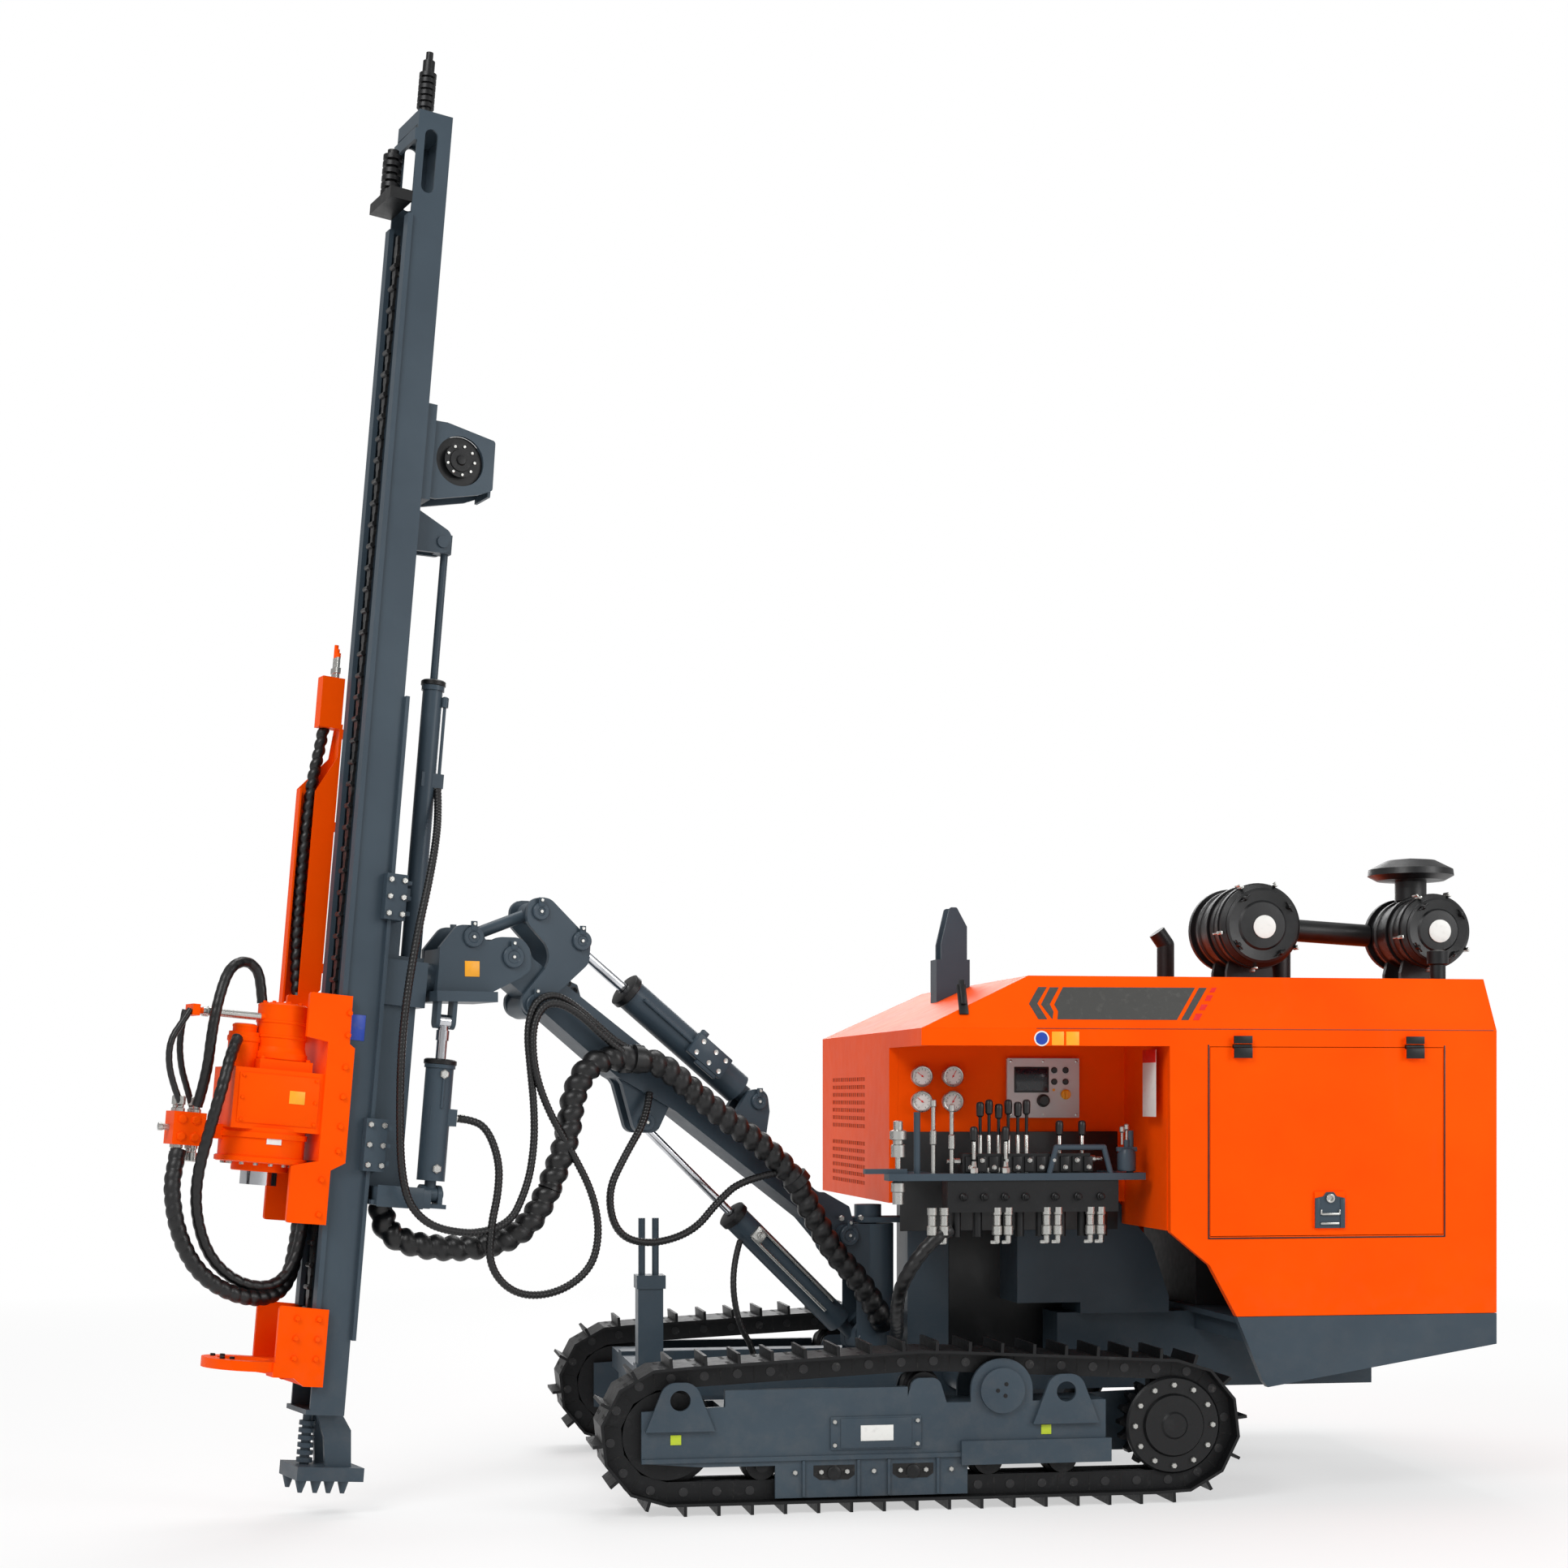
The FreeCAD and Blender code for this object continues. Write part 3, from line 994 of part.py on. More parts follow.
save("carriage", make_carriage(), frame=MAST)
save("rotary_head", make_head(), frame=MAST)
spindle = fuse(
    mast_rod((-880, DRILL_AXIS, 0), (-530, DRILL_AXIS, 0), SPINDLE_RADIUS),
    mast_rod((-900, DRILL_AXIS, 0), (-846, DRILL_AXIS, 0), 74),
)
spindle = spindle.cut(mast_rod((-901, DRILL_AXIS, 0), (-820, DRILL_AXIS, 0), 38))
save("spindle", spindle, frame=MAST)

# Housing: side walls upright, front and sides of the roof sloped
HOUSE_FRONT = 269.0
HOUSE_HALF = 1100.0
WALL = 40.0
CREASE_Z = 1990.0
ROOF_Z = 2215.0
ROOF_FRONT = 752.0
ROOF_REAR = 2790.0
ROOF_HALF = 1000.0
FRONT_LOW = 1240.0
NICHE_WALL_Y = -465.0
NICHE_REAR = 1339.0
NICHE_TOP = 1918.0
DOOR_X0 = 1514.0
DOOR_X1 = 2561.0
DOOR_Z0 = 1114.0
DOOR_Z1 = 1917.0
DOOR_GAP = 3.0
HINGE_OUT = 12.0
HINGE_PIN = 9.0
HINGE_Z = 1918.0
HINGE_XS = (1654.0, 2424.0)
SILL_Z = 776.0
SILL_X = 1634.0
CHAMFER = ((1343.0, 1134.0), (1515.0, 993.0))
DECK_PLATE = 25.0


def rectangle(x0, x1, half, z):
    corners = [V(x0, -half, z), V(x1, -half, z), V(x1, half, z), V(x0, half, z)]
    return Part.makePolygon(corners + corners[:1])


def make_roof():
    """Sheet cover with a sloped front, sloped sides and a nearly upright back."""
    outer = Part.makeLoft([rectangle(HOUSE_FRONT, HOUSING_REAR, HOUSE_HALF, CREASE_Z),
                           rectangle(ROOF_FRONT, ROOF_REAR, ROOF_HALF, ROOF_Z)], True, True)
    slope = (ROOF_FRONT - HOUSE_FRONT) / (ROOF_Z - CREASE_Z)
    inner_front = HOUSE_FRONT + WALL + slope * WALL * 0.5
    inner = Part.makeLoft([rectangle(inner_front, HOUSING_REAR - WALL, HOUSE_HALF - WALL, CREASE_Z - 1),
                           rectangle(inner_front + slope * (ROOF_Z - CREASE_Z - WALL), ROOF_REAR - WALL,
                                     ROOF_HALF - WALL, ROOF_Z - WALL)], True, True)
    return outer.cut(inner)


def side_panel(outline):
    """Near side wall with its door hole and the fixed leaves that the door's hinges turn under."""
    y0, y1 = -HOUSE_HALF, -HOUSE_HALF + WALL
    leaves = []
    for x in HINGE_XS:
        leaves.append(box(x - 38, x + 38, y0 - HINGE_OUT - 8, y0 + 1, HINGE_Z + HINGE_PIN + RUNNING_GAP,
                          HINGE_Z + HINGE_PIN + 30))
    panel = fuse(plate(outline, y0, y1), *leaves)
    hole = box(DOOR_X0, DOOR_X1, y0 - 1, y1 + 1, DOOR_Z0, DOOR_Z1)
    return panel.cut(hole)


def make_front_panel():
    """Front wall with its grille, and the band that runs on above the console niche."""
    top = CREASE_Z - RUNNING_GAP
    side = HOUSE_HALF - WALL - RUNNING_GAP
    wall = fuse(
        box(HOUSE_FRONT, HOUSE_FRONT + WALL, NICHE_WALL_Y, side, FRONT_LOW, top),
        box(HOUSE_FRONT, HOUSE_FRONT + WALL, -side, NICHE_WALL_Y + 1, NICHE_TOP, top),
    )
    slots = []
    # Grille fields: first slot's height and number of rows
    for low, rows in ((1300.0, 6), (1560.0, 7)):
        for row in range(rows):
            z = low + row * 36
            for column in range(4):
                y = 65 + column * 195
                slots.append(box(HOUSE_FRONT - 1, HOUSE_FRONT + WALL + 1, y, y + 180, z, z + 18))
    return wall.cut(slots)


def make_niche():
    top = CREASE_Z - RUNNING_GAP
    back = box(HOUSE_FRONT + WALL + RUNNING_GAP, NICHE_REAR, NICHE_WALL_Y, NICHE_WALL_Y + WALL, FRONT_LOW, top)
    side = box(NICHE_REAR, NICHE_REAR + WALL, -HOUSE_HALF + WALL + RUNNING_GAP, NICHE_WALL_Y + WALL,
               CHAMFER[0][1] + 6, top)
    return fuse(back, side)


def make_rear_panel():
    side = HOUSE_HALF - WALL - RUNNING_GAP
    wall = box(HOUSING_REAR - WALL, HOUSING_REAR, -side, side, SILL_Z, CREASE_Z - RUNNING_GAP)
    slots = []
    for row in range(10):
        for column in range(2):
            y = -720 + column * 760
            z = 1240 + row * 52
            slots.append(box(HOUSING_REAR - WALL - 1, HOUSING_REAR + 1, y, y + 680, z, z + 26))
    return wall.cut(slots)


top_edge = CREASE_Z - RUNNING_GAP
lower_edge = [(HOUSING_REAR, SILL_Z), (SILL_X, SILL_Z), CHAMFER[1]]
near_outline = [(HOUSE_FRONT, NICHE_TOP), (HOUSE_FRONT, top_edge), (HOUSING_REAR, top_edge)]
near_outline += lower_edge + [CHAMFER[0], (NICHE_REAR, NICHE_TOP)]
far_outline = [(HOUSE_FRONT, FRONT_LOW), (HOUSE_FRONT, top_edge), (HOUSING_REAR, top_edge)]
far_outline += lower_edge + [(CHAMFER[0][0] - 130, FRONT_LOW)]
save("roof_cover", make_roof())
save("front_panel", make_front_panel())
save("niche_walls", make_niche())
save("side_panel_near", side_panel(near_outline))
save("side_panel_far", mirrored(side_panel(far_outline)))
save("rear_panel", make_rear_panel())


def make_door():
    """Near door with hinge leaves at its top edge and a latch plate."""
    door = box(DOOR_X0 + DOOR_GAP, DOOR_X1 - DOOR_GAP, -HOUSE_HALF, -HOUSE_HALF + WALL,
               DOOR_Z0 + DOOR_GAP, DOOR_Z1 - DOOR_GAP)
    pieces = [door, box(1977, 2112, -HOUSE_HALF - 8, -HOUSE_HALF + 1, 1146, 1302)]
    for x in HINGE_XS:
        pieces.append(box(x - 38, x + 38, -HOUSE_HALF - HINGE_OUT - 8, -HOUSE_HALF + 1,
                          DOOR_Z1 - 46, DOOR_Z1 - DOOR_GAP))
        pieces.append(rod((x - 38, -HOUSE_HALF - HINGE_OUT, HINGE_Z), (x + 38, -HOUSE_HALF - HINGE_OUT, HINGE_Z),
                          HINGE_PIN))
    return fuse(*pieces)


door = make_door()
save("door_near", door)
save("door_far", mirrored(door))
skirt_side = [(SILL_X, SILL_Z - 2), (1751, 500), (1772, 475), (HOUSING_REAR, 642), (HOUSING_REAR, SILL_Z - 2)]
skirt = both_sides(plate(skirt_side, -HOUSE_HALF, -HOUSE_HALF + WALL))
skirt.append(box(HOUSING_REAR - WALL, HOUSING_REAR, -HOUSE_HALF + 1, HOUSE_HALF - 1, 642, SILL_Z - 2))
save("rear_skirt", fuse(*skirt))
deck_half = HOUSE_HALF - WALL - RUNNING_GAP
save("deck_plate", box(SILL_X + 30, HOUSING_REAR - WALL - RUNNING_GAP, -deck_half, deck_half,
                       DECK_Z + RUNNING_GAP, DECK_Z + DECK_PLATE))
engine_floor = DECK_Z + DECK_PLATE + RUNNING_GAP
save("engine_block", box(1700, 2600, -380, 380, engine_floor, engine_floor + 820))
tank = [
    (860, 790), (860, 1180), (900, FRONT_LOW - 8), (1330, FRONT_LOW - 8), (1480, 1050), (1560, DECK_Z + 70),
    (1560, DECK_Z + RUNNING_GAP), (1150, DECK_Z + RUNNING_GAP), (1150, 790),
]
save("hydraulic_tank", plate(tank, -420, 420))

# Air filters, rain cap, exhaust and rest on the roof
FILTER_CAP_Y = -860.0
FILTER_LENGTH = 500.0
FILTERS = (
    # name, x, z, radius
    ("air_filter_front", 1835.0, 2447.0, 181.0),
    ("air_filter_rear", 2642.0, 2434.0, 159.0),
)


def make_filter(x, z, radius):
    end = FILTER_CAP_Y + FILTER_LENGTH
    profile = [
        (0, 0), (radius - 26, 0), (radius, 24), (radius, 60), (radius - 12, 66), (radius - 12, 150), (radius - 4, 156),
        (radius - 4, 176), (radius - 12, 182), (radius - 12, 330), (radius - 4, 336), (radius - 4, 356),
        (radius - 12, 362), (radius - 12, 470), (radius - 50, FILTER_LENGTH), (0, FILTER_LENGTH),
    ]
    pieces = [turned(profile, (x, FILTER_CAP_Y, z), (0, 1, 0))]
    for y in (FILTER_CAP_Y + 166, end - 154):
        foot = plate([(x - 105, ROOF_Z + RUNNING_GAP), (x - 105, ROOF_Z + 40), (x - 70, z - 40), (x + 70, z - 40),
                      (x + 105, ROOF_Z + 40), (x + 105, ROOF_Z + RUNNING_GAP)], y - 14, y + 14)
        pieces.append(foot.cut(disc(x, z, radius - 20, y - 15, y + 15)))
    return fuse(*pieces)


for name, x, z, radius in FILTERS:
    body = make_filter(x, z, radius)
    if name == "air_filter_rear":
        cap = [(0, 150), (70, 150), (70, 235), (150, 240), (190, 262), (186, 290), (110, 330), (0, 342)]
        body = fuse(body, turned(cap, (x, FILTER_CAP_Y + 290, z), (0, 0, 1)))
    save(name, body)
(_, x1, z1, r1), (_, x2, z2, r2) = FILTERS
duct_y = FILTER_CAP_Y + 420
duct = fuse(
    rod((x1 + r1 - 12 + RUNNING_GAP + 6, duct_y, z1 + 16), (x2 - r2 + 12 - RUNNING_GAP - 6, duct_y, z2), 50),
    rod((x1 + r1 + 60, duct_y, z1 + 10), (x1 + r1 + 60, duct_y, ROOF_Z + RUNNING_GAP), 46),
)
save("intake_duct", duct)
exhaust = fuse(
    rod((1683, 0, ROOF_Z + RUNNING_GAP), (1683, 0, 2410), 40),
    rod((1683, 0, 2410), (1640, 0, 2470), 40),
    Part.makeSphere(40, V(1683, 0, 2410)),
    rod((1683, 0, ROOF_Z + RUNNING_GAP), (1683, 0, ROOF_Z + 14), 62),
)


def slope_z(x):
    return CREASE_Z + (x - HOUSE_FRONT) * (ROOF_Z - CREASE_Z) / (ROOF_FRONT - HOUSE_FRONT) + RUNNING_GAP


rest = [plate([(577, slope_z(577)), (577, 2330), (733, 2330), (733, slope_z(733))], -60, 60)]
for y0, y1 in ((-60, -42), (42, 60)):
    rest.append(plate([(600, 2320), (600, 2400), (640, 2568, 10), (672, 2568, 10), (720, 2480), (720, 2320)], y0, y1))
save("roof_rest", fuse(*rest))
breather = turned([(0, 0), (34, 0), (34, 60), (46, 66), (46, 120), (0, 130)], (2597, -960, ROOF_Z + RUNNING_GAP),
                  (0, 0, 1))
save("roof_fittings", exhaust, breather)

# Operator's bench in the niche
BENCH_Z = 1350.0
BENCH_TOP = 1380.0
BENCH_Y0 = -900.0
BENCH_Y1 = -800.0
GUARD_Y = -887.0
LEVERS = (
    # x, y, knob height
    (579.0, -860.0, 1680.0), (618.0, -860.0, 1690.0), (660.0, -860.0, 1672.0), (702.0, -860.0, 1690.0),
    (744.0, -860.0, 1680.0), (782.0, -860.0, 1690.0), (544.0, -890.0, 1576.0), (683.0, -890.0, 1576.0),
    (930.0, -850.0, 1600.0), (1030.0, -850.0, 1600.0),
)


def make_bench():
    wall_face = NICHE_WALL_Y - RUNNING_GAP
    pieces = [
        box(175, 1298, BENCH_Y0, BENCH_Y1, BENCH_Z, BENCH_TOP),
        box(340, 400, BENCH_Y1 - 1, wall_face, BENCH_Z, BENCH_TOP),
        box(1200, 1260, BENCH_Y1 - 1, wall_face, BENCH_Z, BENCH_TOP),
        rod((875, GUARD_Y, BENCH_TOP - 1), (905, GUARD_Y, 1490), 12),
        rod((905, GUARD_Y, 1490), (1116, GUARD_Y, 1490), 12),
        rod((1116, GUARD_Y, 1490), (1146, GUARD_Y, BENCH_TOP - 1), 12),
        Part.makeSphere(12, V(905, GUARD_Y, 1490)),
        Part.makeSphere(12, V(1116, GUARD_Y, 1490)),
        box(80, 260, -870, -820, BENCH_TOP - 1, BENCH_TOP + 20),
        rod((307, -850, BENCH_TOP - 1), (307, -850, 1640), 14),
        rod((1243, -850, BENCH_TOP - 1), (1243, -850, 1560), 16),
    ]
    return fuse(*pieces)


def make_valves():
    top = BENCH_Z - RUNNING_GAP
    blocks = [box(430, 1180, -890, -790, 1215, top)]
    for i in range(8):
        x = 480 + i * 92
        blocks.append(rod((x, -840, 1110), (x, -840, 1220), 20))
    lower = fuse(*blocks)
    above = [box(500, 1060, -872, -800, BENCH_TOP + RUNNING_GAP, BENCH_TOP + 84)]
    for x, y, z in LEVERS:
        above.append(rod((x, y, BENCH_TOP + RUNNING_GAP), (x, y, z), 7))
        above.append(rod((x, y, z - 46), (x, y, z), 14))
    return lower, fuse(*above)


def make_control_panel():
    face = NICHE_WALL_Y - RUNNING_GAP
    solids = [box(797, 1120, face - 28, face, 1615, 1872)]
    for x in (408.0, 547.0):
        for z in (1684.0, 1795.0):
            solids.append(disc(x, z, 42, face - 34, face))
    return solids


save("console_bench", make_bench())
save("valve_bank", *make_valves())
save("control_panel", *make_control_panel())

print("nodes", len(NODES))
whole = Part.Compound(list(NODES.values()))
b = whole.BoundBox
print("box", round(b.XMin, 1), round(b.XMax, 1), round(b.YMin, 1), round(b.YMax, 1), round(b.ZMin, 1), round(b.ZMax, 1))
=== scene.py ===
import math

import bpy
from mathutils import Matrix, Vector


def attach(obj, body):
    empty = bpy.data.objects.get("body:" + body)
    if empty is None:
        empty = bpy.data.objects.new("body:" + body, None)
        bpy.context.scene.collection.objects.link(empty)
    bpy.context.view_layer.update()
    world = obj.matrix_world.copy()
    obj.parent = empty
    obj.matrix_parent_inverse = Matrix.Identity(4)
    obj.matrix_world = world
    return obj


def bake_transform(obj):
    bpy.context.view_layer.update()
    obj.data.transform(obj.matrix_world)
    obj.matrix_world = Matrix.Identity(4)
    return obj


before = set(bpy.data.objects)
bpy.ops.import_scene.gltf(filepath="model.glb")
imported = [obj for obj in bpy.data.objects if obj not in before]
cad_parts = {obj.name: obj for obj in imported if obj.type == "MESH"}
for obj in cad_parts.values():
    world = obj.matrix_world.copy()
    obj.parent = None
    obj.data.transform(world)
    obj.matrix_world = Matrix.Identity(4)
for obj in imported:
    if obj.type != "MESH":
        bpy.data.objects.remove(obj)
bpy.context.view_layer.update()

QUARTER = math.pi / 2


# Finishes
def linear(red, green, blue):
    """A colour written 0 to 255, as the shaders take it."""
    parts = [c / 255 for c in (red, green, blue)]
    return tuple(c / 12.92 if c <= 0.04045 else ((c + 0.055) / 1.055) ** 2.4 for c in parts) + (1.0,)


class Tone:
    """A value that changes over a surface, so that sums can be written as sums."""

    def __init__(self, finish, socket):
        self.finish = finish
        self.socket = socket

    def sum_of(self, operation, other):
        return self.finish.node("ShaderNodeMath", {0: self, 1: other}, operation=operation)

    def __add__(self, other):
        return self.sum_of("ADD", other)

    __radd__ = __add__

    def __mul__(self, other):
        return self.sum_of("MULTIPLY", other)

    __rmul__ = __mul__


class Finish:
    """A paint, metal, rubber or plastic, with the nodes that give it its grain."""

    def __init__(self, name, roughness=0.5, metallic=0.0):
        self.material = bpy.data.materials.new(name)
        self.material.use_nodes = True
        self.tree = self.material.node_tree
        self.shader = self.tree.nodes["Principled BSDF"]
        self.shader.inputs["Roughness"].default_value = roughness
        self.shader.inputs["Metallic"].default_value = metallic
        self.place = self.node("ShaderNodeTexCoord", {}, output="Object")

    def node(self, kind, entries, output=0, **settings):
        """Adds a node, sets or joins its sockets, and gives the named output."""
        made = self.tree.nodes.new(kind)
        for setting, value in settings.items():
            setattr(made, setting, value)
        for socket, value in entries.items():
            if isinstance(value, Tone):
                self.tree.links.new(value.socket, made.inputs[socket])
            else:
                made.inputs[socket].default_value = value
        return Tone(self, made.outputs[output])

    def noise(self, scale, detail=4.0, roughness=0.55, stretch=None):
        entries = {"Vector": self.place, "Scale": scale, "Detail": detail, "Roughness": roughness}
        if stretch:
            entries["Vector"] = self.node(
                "ShaderNodeMapping", {"Vector": self.place, "Scale": stretch}
            )
        return self.node("ShaderNodeTexNoise", entries)

    def height(self):
        return self.node("ShaderNodeSeparateXYZ", {0: self.place}, output=2)

    def ramp(self, value, low, high):
        """0 below low, 1 above high."""
        return self.node(
            "ShaderNodeMapRange", {"Value": value, "From Min": low, "From Max": high}, clamp=True
        )

    def blend(self, factor, one, other):
        return self.node("ShaderNodeMix", {0: factor, 6: one, 7: other}, output=2, data_type="RGBA")

    def join(self, socket, value):
        self.tree.links.new(value.socket, self.shader.inputs[socket])

    def raise_by(self, value, distance, strength):
        bump = self.node("ShaderNodeBump", {"Height": value, "Distance": distance, "Strength": strength})
        self.join("Normal", bump)


def gloss_paint(name, colour, deep, roughness=0.34, dust=0.35, coat=0.25, shine=(1.0, 1.0, 1.0, 1.0)):
    """Sprayed paint: cloudy tone, orange peel, dust low down and in faint upright streaks."""
    paint = Finish(name, roughness)
    paint.shader.inputs["Coat Weight"].default_value = coat
    paint.shader.inputs["Specular IOR Level"].default_value = 0.18
    paint.shader.inputs["Specular Tint"].default_value = shine
    paint.shader.inputs["Coat Roughness"].default_value = 0.18
    cloud = paint.ramp(paint.noise(1.7, 5.0), 0.35, 0.7)
    tone = paint.blend(cloud, colour, deep)
    settled = paint.ramp(paint.height(), 1.1, 0.1) * paint.ramp(paint.noise(9.0, 6.0, 0.7), 0.45, 0.75)
    streaks = paint.ramp(paint.noise(6.0, 5.0, 0.6, (1.0, 1.0, 0.12)), 0.62, 0.8) * 0.22
    veil = settled * dust + streaks * dust
    paint.join("Base Color", paint.blend(veil, tone, linear(138, 130, 120)))
    paint.join("Roughness", paint.noise(14.0, 3.0) * 0.16 + veil * 0.4 + (roughness - 0.08))
    paint.raise_by(paint.noise(420.0, 2.0), 0.0006, 0.35)
    return paint.material


def dark_steel(name, colour, worn, roughness=0.5, metallic=0.35, wear=0.5):
    """Rolled or cast steel with scuffs that show the metal."""
    steel = Finish(name, roughness, metallic)
    scuffs = steel.ramp(steel.noise(11.0, 9.0, 0.72), 0.57, 0.72) * wear
    fine = steel.ramp(steel.noise(60.0, 6.0, 0.6, (1.0, 0.25, 1.0)), 0.6, 0.75) * wear * 0.6
    steel.join("Base Color", steel.blend(scuffs + fine, colour, worn))
    steel.join("Roughness", steel.noise(30.0, 4.0) * 0.25 + (roughness - 0.12))
    steel.raise_by(steel.noise(170.0, 5.0, 0.7), 0.0012, 0.4)
    return steel.material


def plated_rod(name, colour):
    """Ground and plated bar with faint rings and a film of oil."""
    rod = Finish(name, 0.16, 1.0)
    film = rod.ramp(rod.noise(5.0, 5.0), 0.4, 0.75)
    rod.join("Base Color", rod.blend(film, colour, linear(150, 152, 156)))
    rod.join("Roughness", film * 0.16 + rod.noise(260.0, 2.0) * 0.08 + 0.1)
    rod.raise_by(rod.noise(900.0, 2.0), 0.0002, 0.2)
    return rod.material


def moulded(name, colour, sheen, roughness=0.55, grain=520.0):
    """Moulded plastic or rubber with a fine grain and a rubbed bloom."""
    skin = Finish(name, roughness)
    bloom = skin.ramp(skin.noise(7.0, 6.0, 0.65), 0.42, 0.75)
    skin.join("Base Color", skin.blend(bloom, colour, sheen))
    skin.join("Roughness", bloom * 0.18 + (roughness - 0.06))
    skin.raise_by(skin.noise(grain, 3.0), 0.0007, 0.4)
    return skin.material


def printed(name, colour, roughness=0.4):
    """A blank label or lens: an even printed film, faintly marked."""
    film = Finish(name, roughness)
    marks = film.ramp(film.noise(40.0, 5.0), 0.55, 0.85) * 0.25
    film.join("Base Color", film.blend(marks, colour, linear(120, 118, 114)))
    film.join("Roughness", film.noise(25.0, 3.0) * 0.2 + (roughness - 0.1))
    return film.material


ORANGE = gloss_paint("orange_paint_coat", linear(255, 84, 0), linear(246, 75, 0), 0.45, 0.1, 0.0,
                     (1.0, 0.5, 0.2, 1.0))
GREY = gloss_paint("blue_grey_paint_coat", linear(64, 77, 87), linear(55, 67, 77), 0.42, 0.14, 0.12)
TRACK = dark_steel("track_shoe_steel", linear(17, 18, 20), linear(56, 56, 57), 0.5, 0.35, 0.5)
BLACK = dark_steel("black_coated_steel", linear(13, 14, 16), linear(46, 47, 49), 0.42, 0.25, 0.3)
CHAIN = dark_steel("oiled_chain_steel", linear(58, 58, 59), linear(132, 130, 126), 0.38, 0.75, 0.6)
CHROME = plated_rod("plated_rod_steel", linear(214, 216, 220))
ZINC = dark_steel("zinc_plated_steel", linear(190, 190, 186), linear(128, 126, 120), 0.28, 0.9, 0.4)
PLASTIC = moulded("black_moulded_plastic", linear(13, 14, 15), linear(24, 25, 27), 0.4)
RUBBER = moulded("hose_rubber_skin", linear(9, 9, 10), linear(20, 20, 22), 0.42, 340.0)
ENGINE = dark_steel("engine_casting", linear(34, 36, 38), linear(22, 22, 23), 0.6, 0.3, 0.4)
PANEL = gloss_paint("control_panel_enamel", linear(206, 208, 207), linear(190, 192, 192), 0.42, 0.2)
WHITE = printed("blank_white_label", linear(232, 232, 228))
YELLOW_ORANGE = printed("blank_orange_yellow_label", linear(250, 170, 20))
# painted shade for the fold along the housing's side
SHADE = printed("panel_fold_shadow", linear(150, 44, 0), 0.5)
RED = printed("blank_red_label", linear(224, 22, 14))
YELLOW = printed("blank_yellow_label", linear(186, 205, 40))
DARK_FILM = printed("dark_stripe_film", linear(64, 64, 62), 0.4)
# painted shade: a flat near-black film for the insides of holes, gaps and openings
HOLE_SHADE = printed("deep_hole_shadow", linear(7, 7, 8), 0.7)
SCREEN = printed("display_glass", linear(24, 28, 36), 0.16)
BLUE = printed("blank_blue_label", linear(16, 62, 168))

FINISH_OF_SLOT = {
    "orange_paint": ORANGE, "orange_sheet": ORANGE, "grey_paint": GREY, "grey_sheet": GREY,
    "black_steel": BLACK, "track_steel": TRACK, "chrome_rod": CHROME, "black_plastic": PLASTIC,
    "engine_grey": ENGINE, "panel_white": PANEL, "hose_rubber": RUBBER,
}
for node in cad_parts.values():
    for slot in node.material_slots:
        slot.material = FINISH_OF_SLOT[slot.material.name.split(".")[0]]
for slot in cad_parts["feed_chain"].material_slots:
    slot.material = CHAIN


# How the fitted parts are made
SWING_X = 0.27
SWING_REST = 18.0
MAST_LEAN = 5.0
MAST_PIVOT = (-2.12, 0.0, 2.19)
ARM = Matrix.Translation((SWING_X, 0.0, 0.0)) @ Matrix.Rotation(math.radians(SWING_REST), 4, "Z")
MAST = ARM @ Matrix.Translation(MAST_PIVOT) @ Matrix.Rotation(math.radians(MAST_LEAN), 4, "Y")
HERE = Matrix.Identity(4)
NEAR, FAR, UP, DOWN = (0, -1, 0), (0, 1, 0), (0, 0, 1), (0, 0, -1)
FORWARD, BACK = (-1, 0, 0), (1, 0, 0)
SIDES = (("near", NEAR, -1.0), ("far", FAR, 1.0))


def facing(point, way):
    """The place of a part whose own upward axis points that way."""
    return Matrix.Translation(point) @ Vector(way).to_track_quat("Z", "Y").to_matrix().to_4x4()


def alone(piece):
    """Makes a part the only one selected."""
    bpy.ops.object.select_all(action="DESELECT")
    piece.select_set(True)
    bpy.context.view_layer.objects.active = piece


def turned(steps, sides=28):
    """A round part grown upwards from a disc: rows of (radius, height)."""
    bpy.ops.object.select_all(action="DESELECT")
    radius, height = steps[0]
    bpy.ops.mesh.primitive_circle_add(vertices=sides, radius=radius, fill_type="NGON",
                                      location=(0, 0, height))
    piece = bpy.context.object
    bpy.ops.object.transform_apply(location=True)
    bpy.ops.object.mode_set(mode="EDIT")
    bpy.ops.mesh.select_all(action="SELECT")
    for wider, higher in steps[1:]:
        bpy.ops.mesh.extrude_region_move(TRANSFORM_OT_translate={"value": (0, 0, higher - height)})
        if wider != radius:
            bpy.ops.transform.resize(value=(wider / radius, wider / radius, 1.0))
        radius, height = wider, higher
    bpy.ops.mesh.select_all(action="SELECT")
    bpy.ops.mesh.normals_make_consistent(inside=False)
    bpy.ops.object.mode_set(mode="OBJECT")
    return piece


def block(low, high, edge=0.003, rows=2):
    """A box between two corners with its edges rounded."""
    bpy.ops.object.select_all(action="DESELECT")
    middle = [(a + b) / 2 for a, b in zip(low, high)]
    bpy.ops.mesh.primitive_cube_add(size=1.0, location=middle)
    piece = bpy.context.object
    piece.scale = [abs(b - a) for a, b in zip(low, high)]
    bpy.ops.object.transform_apply(location=True, scale=True)
    if edge:
        rounding = piece.modifiers.new("edges", "BEVEL")
        rounding.width = edge
        rounding.segments = rows
        bpy.ops.object.modifier_apply(modifier="edges")
    return piece


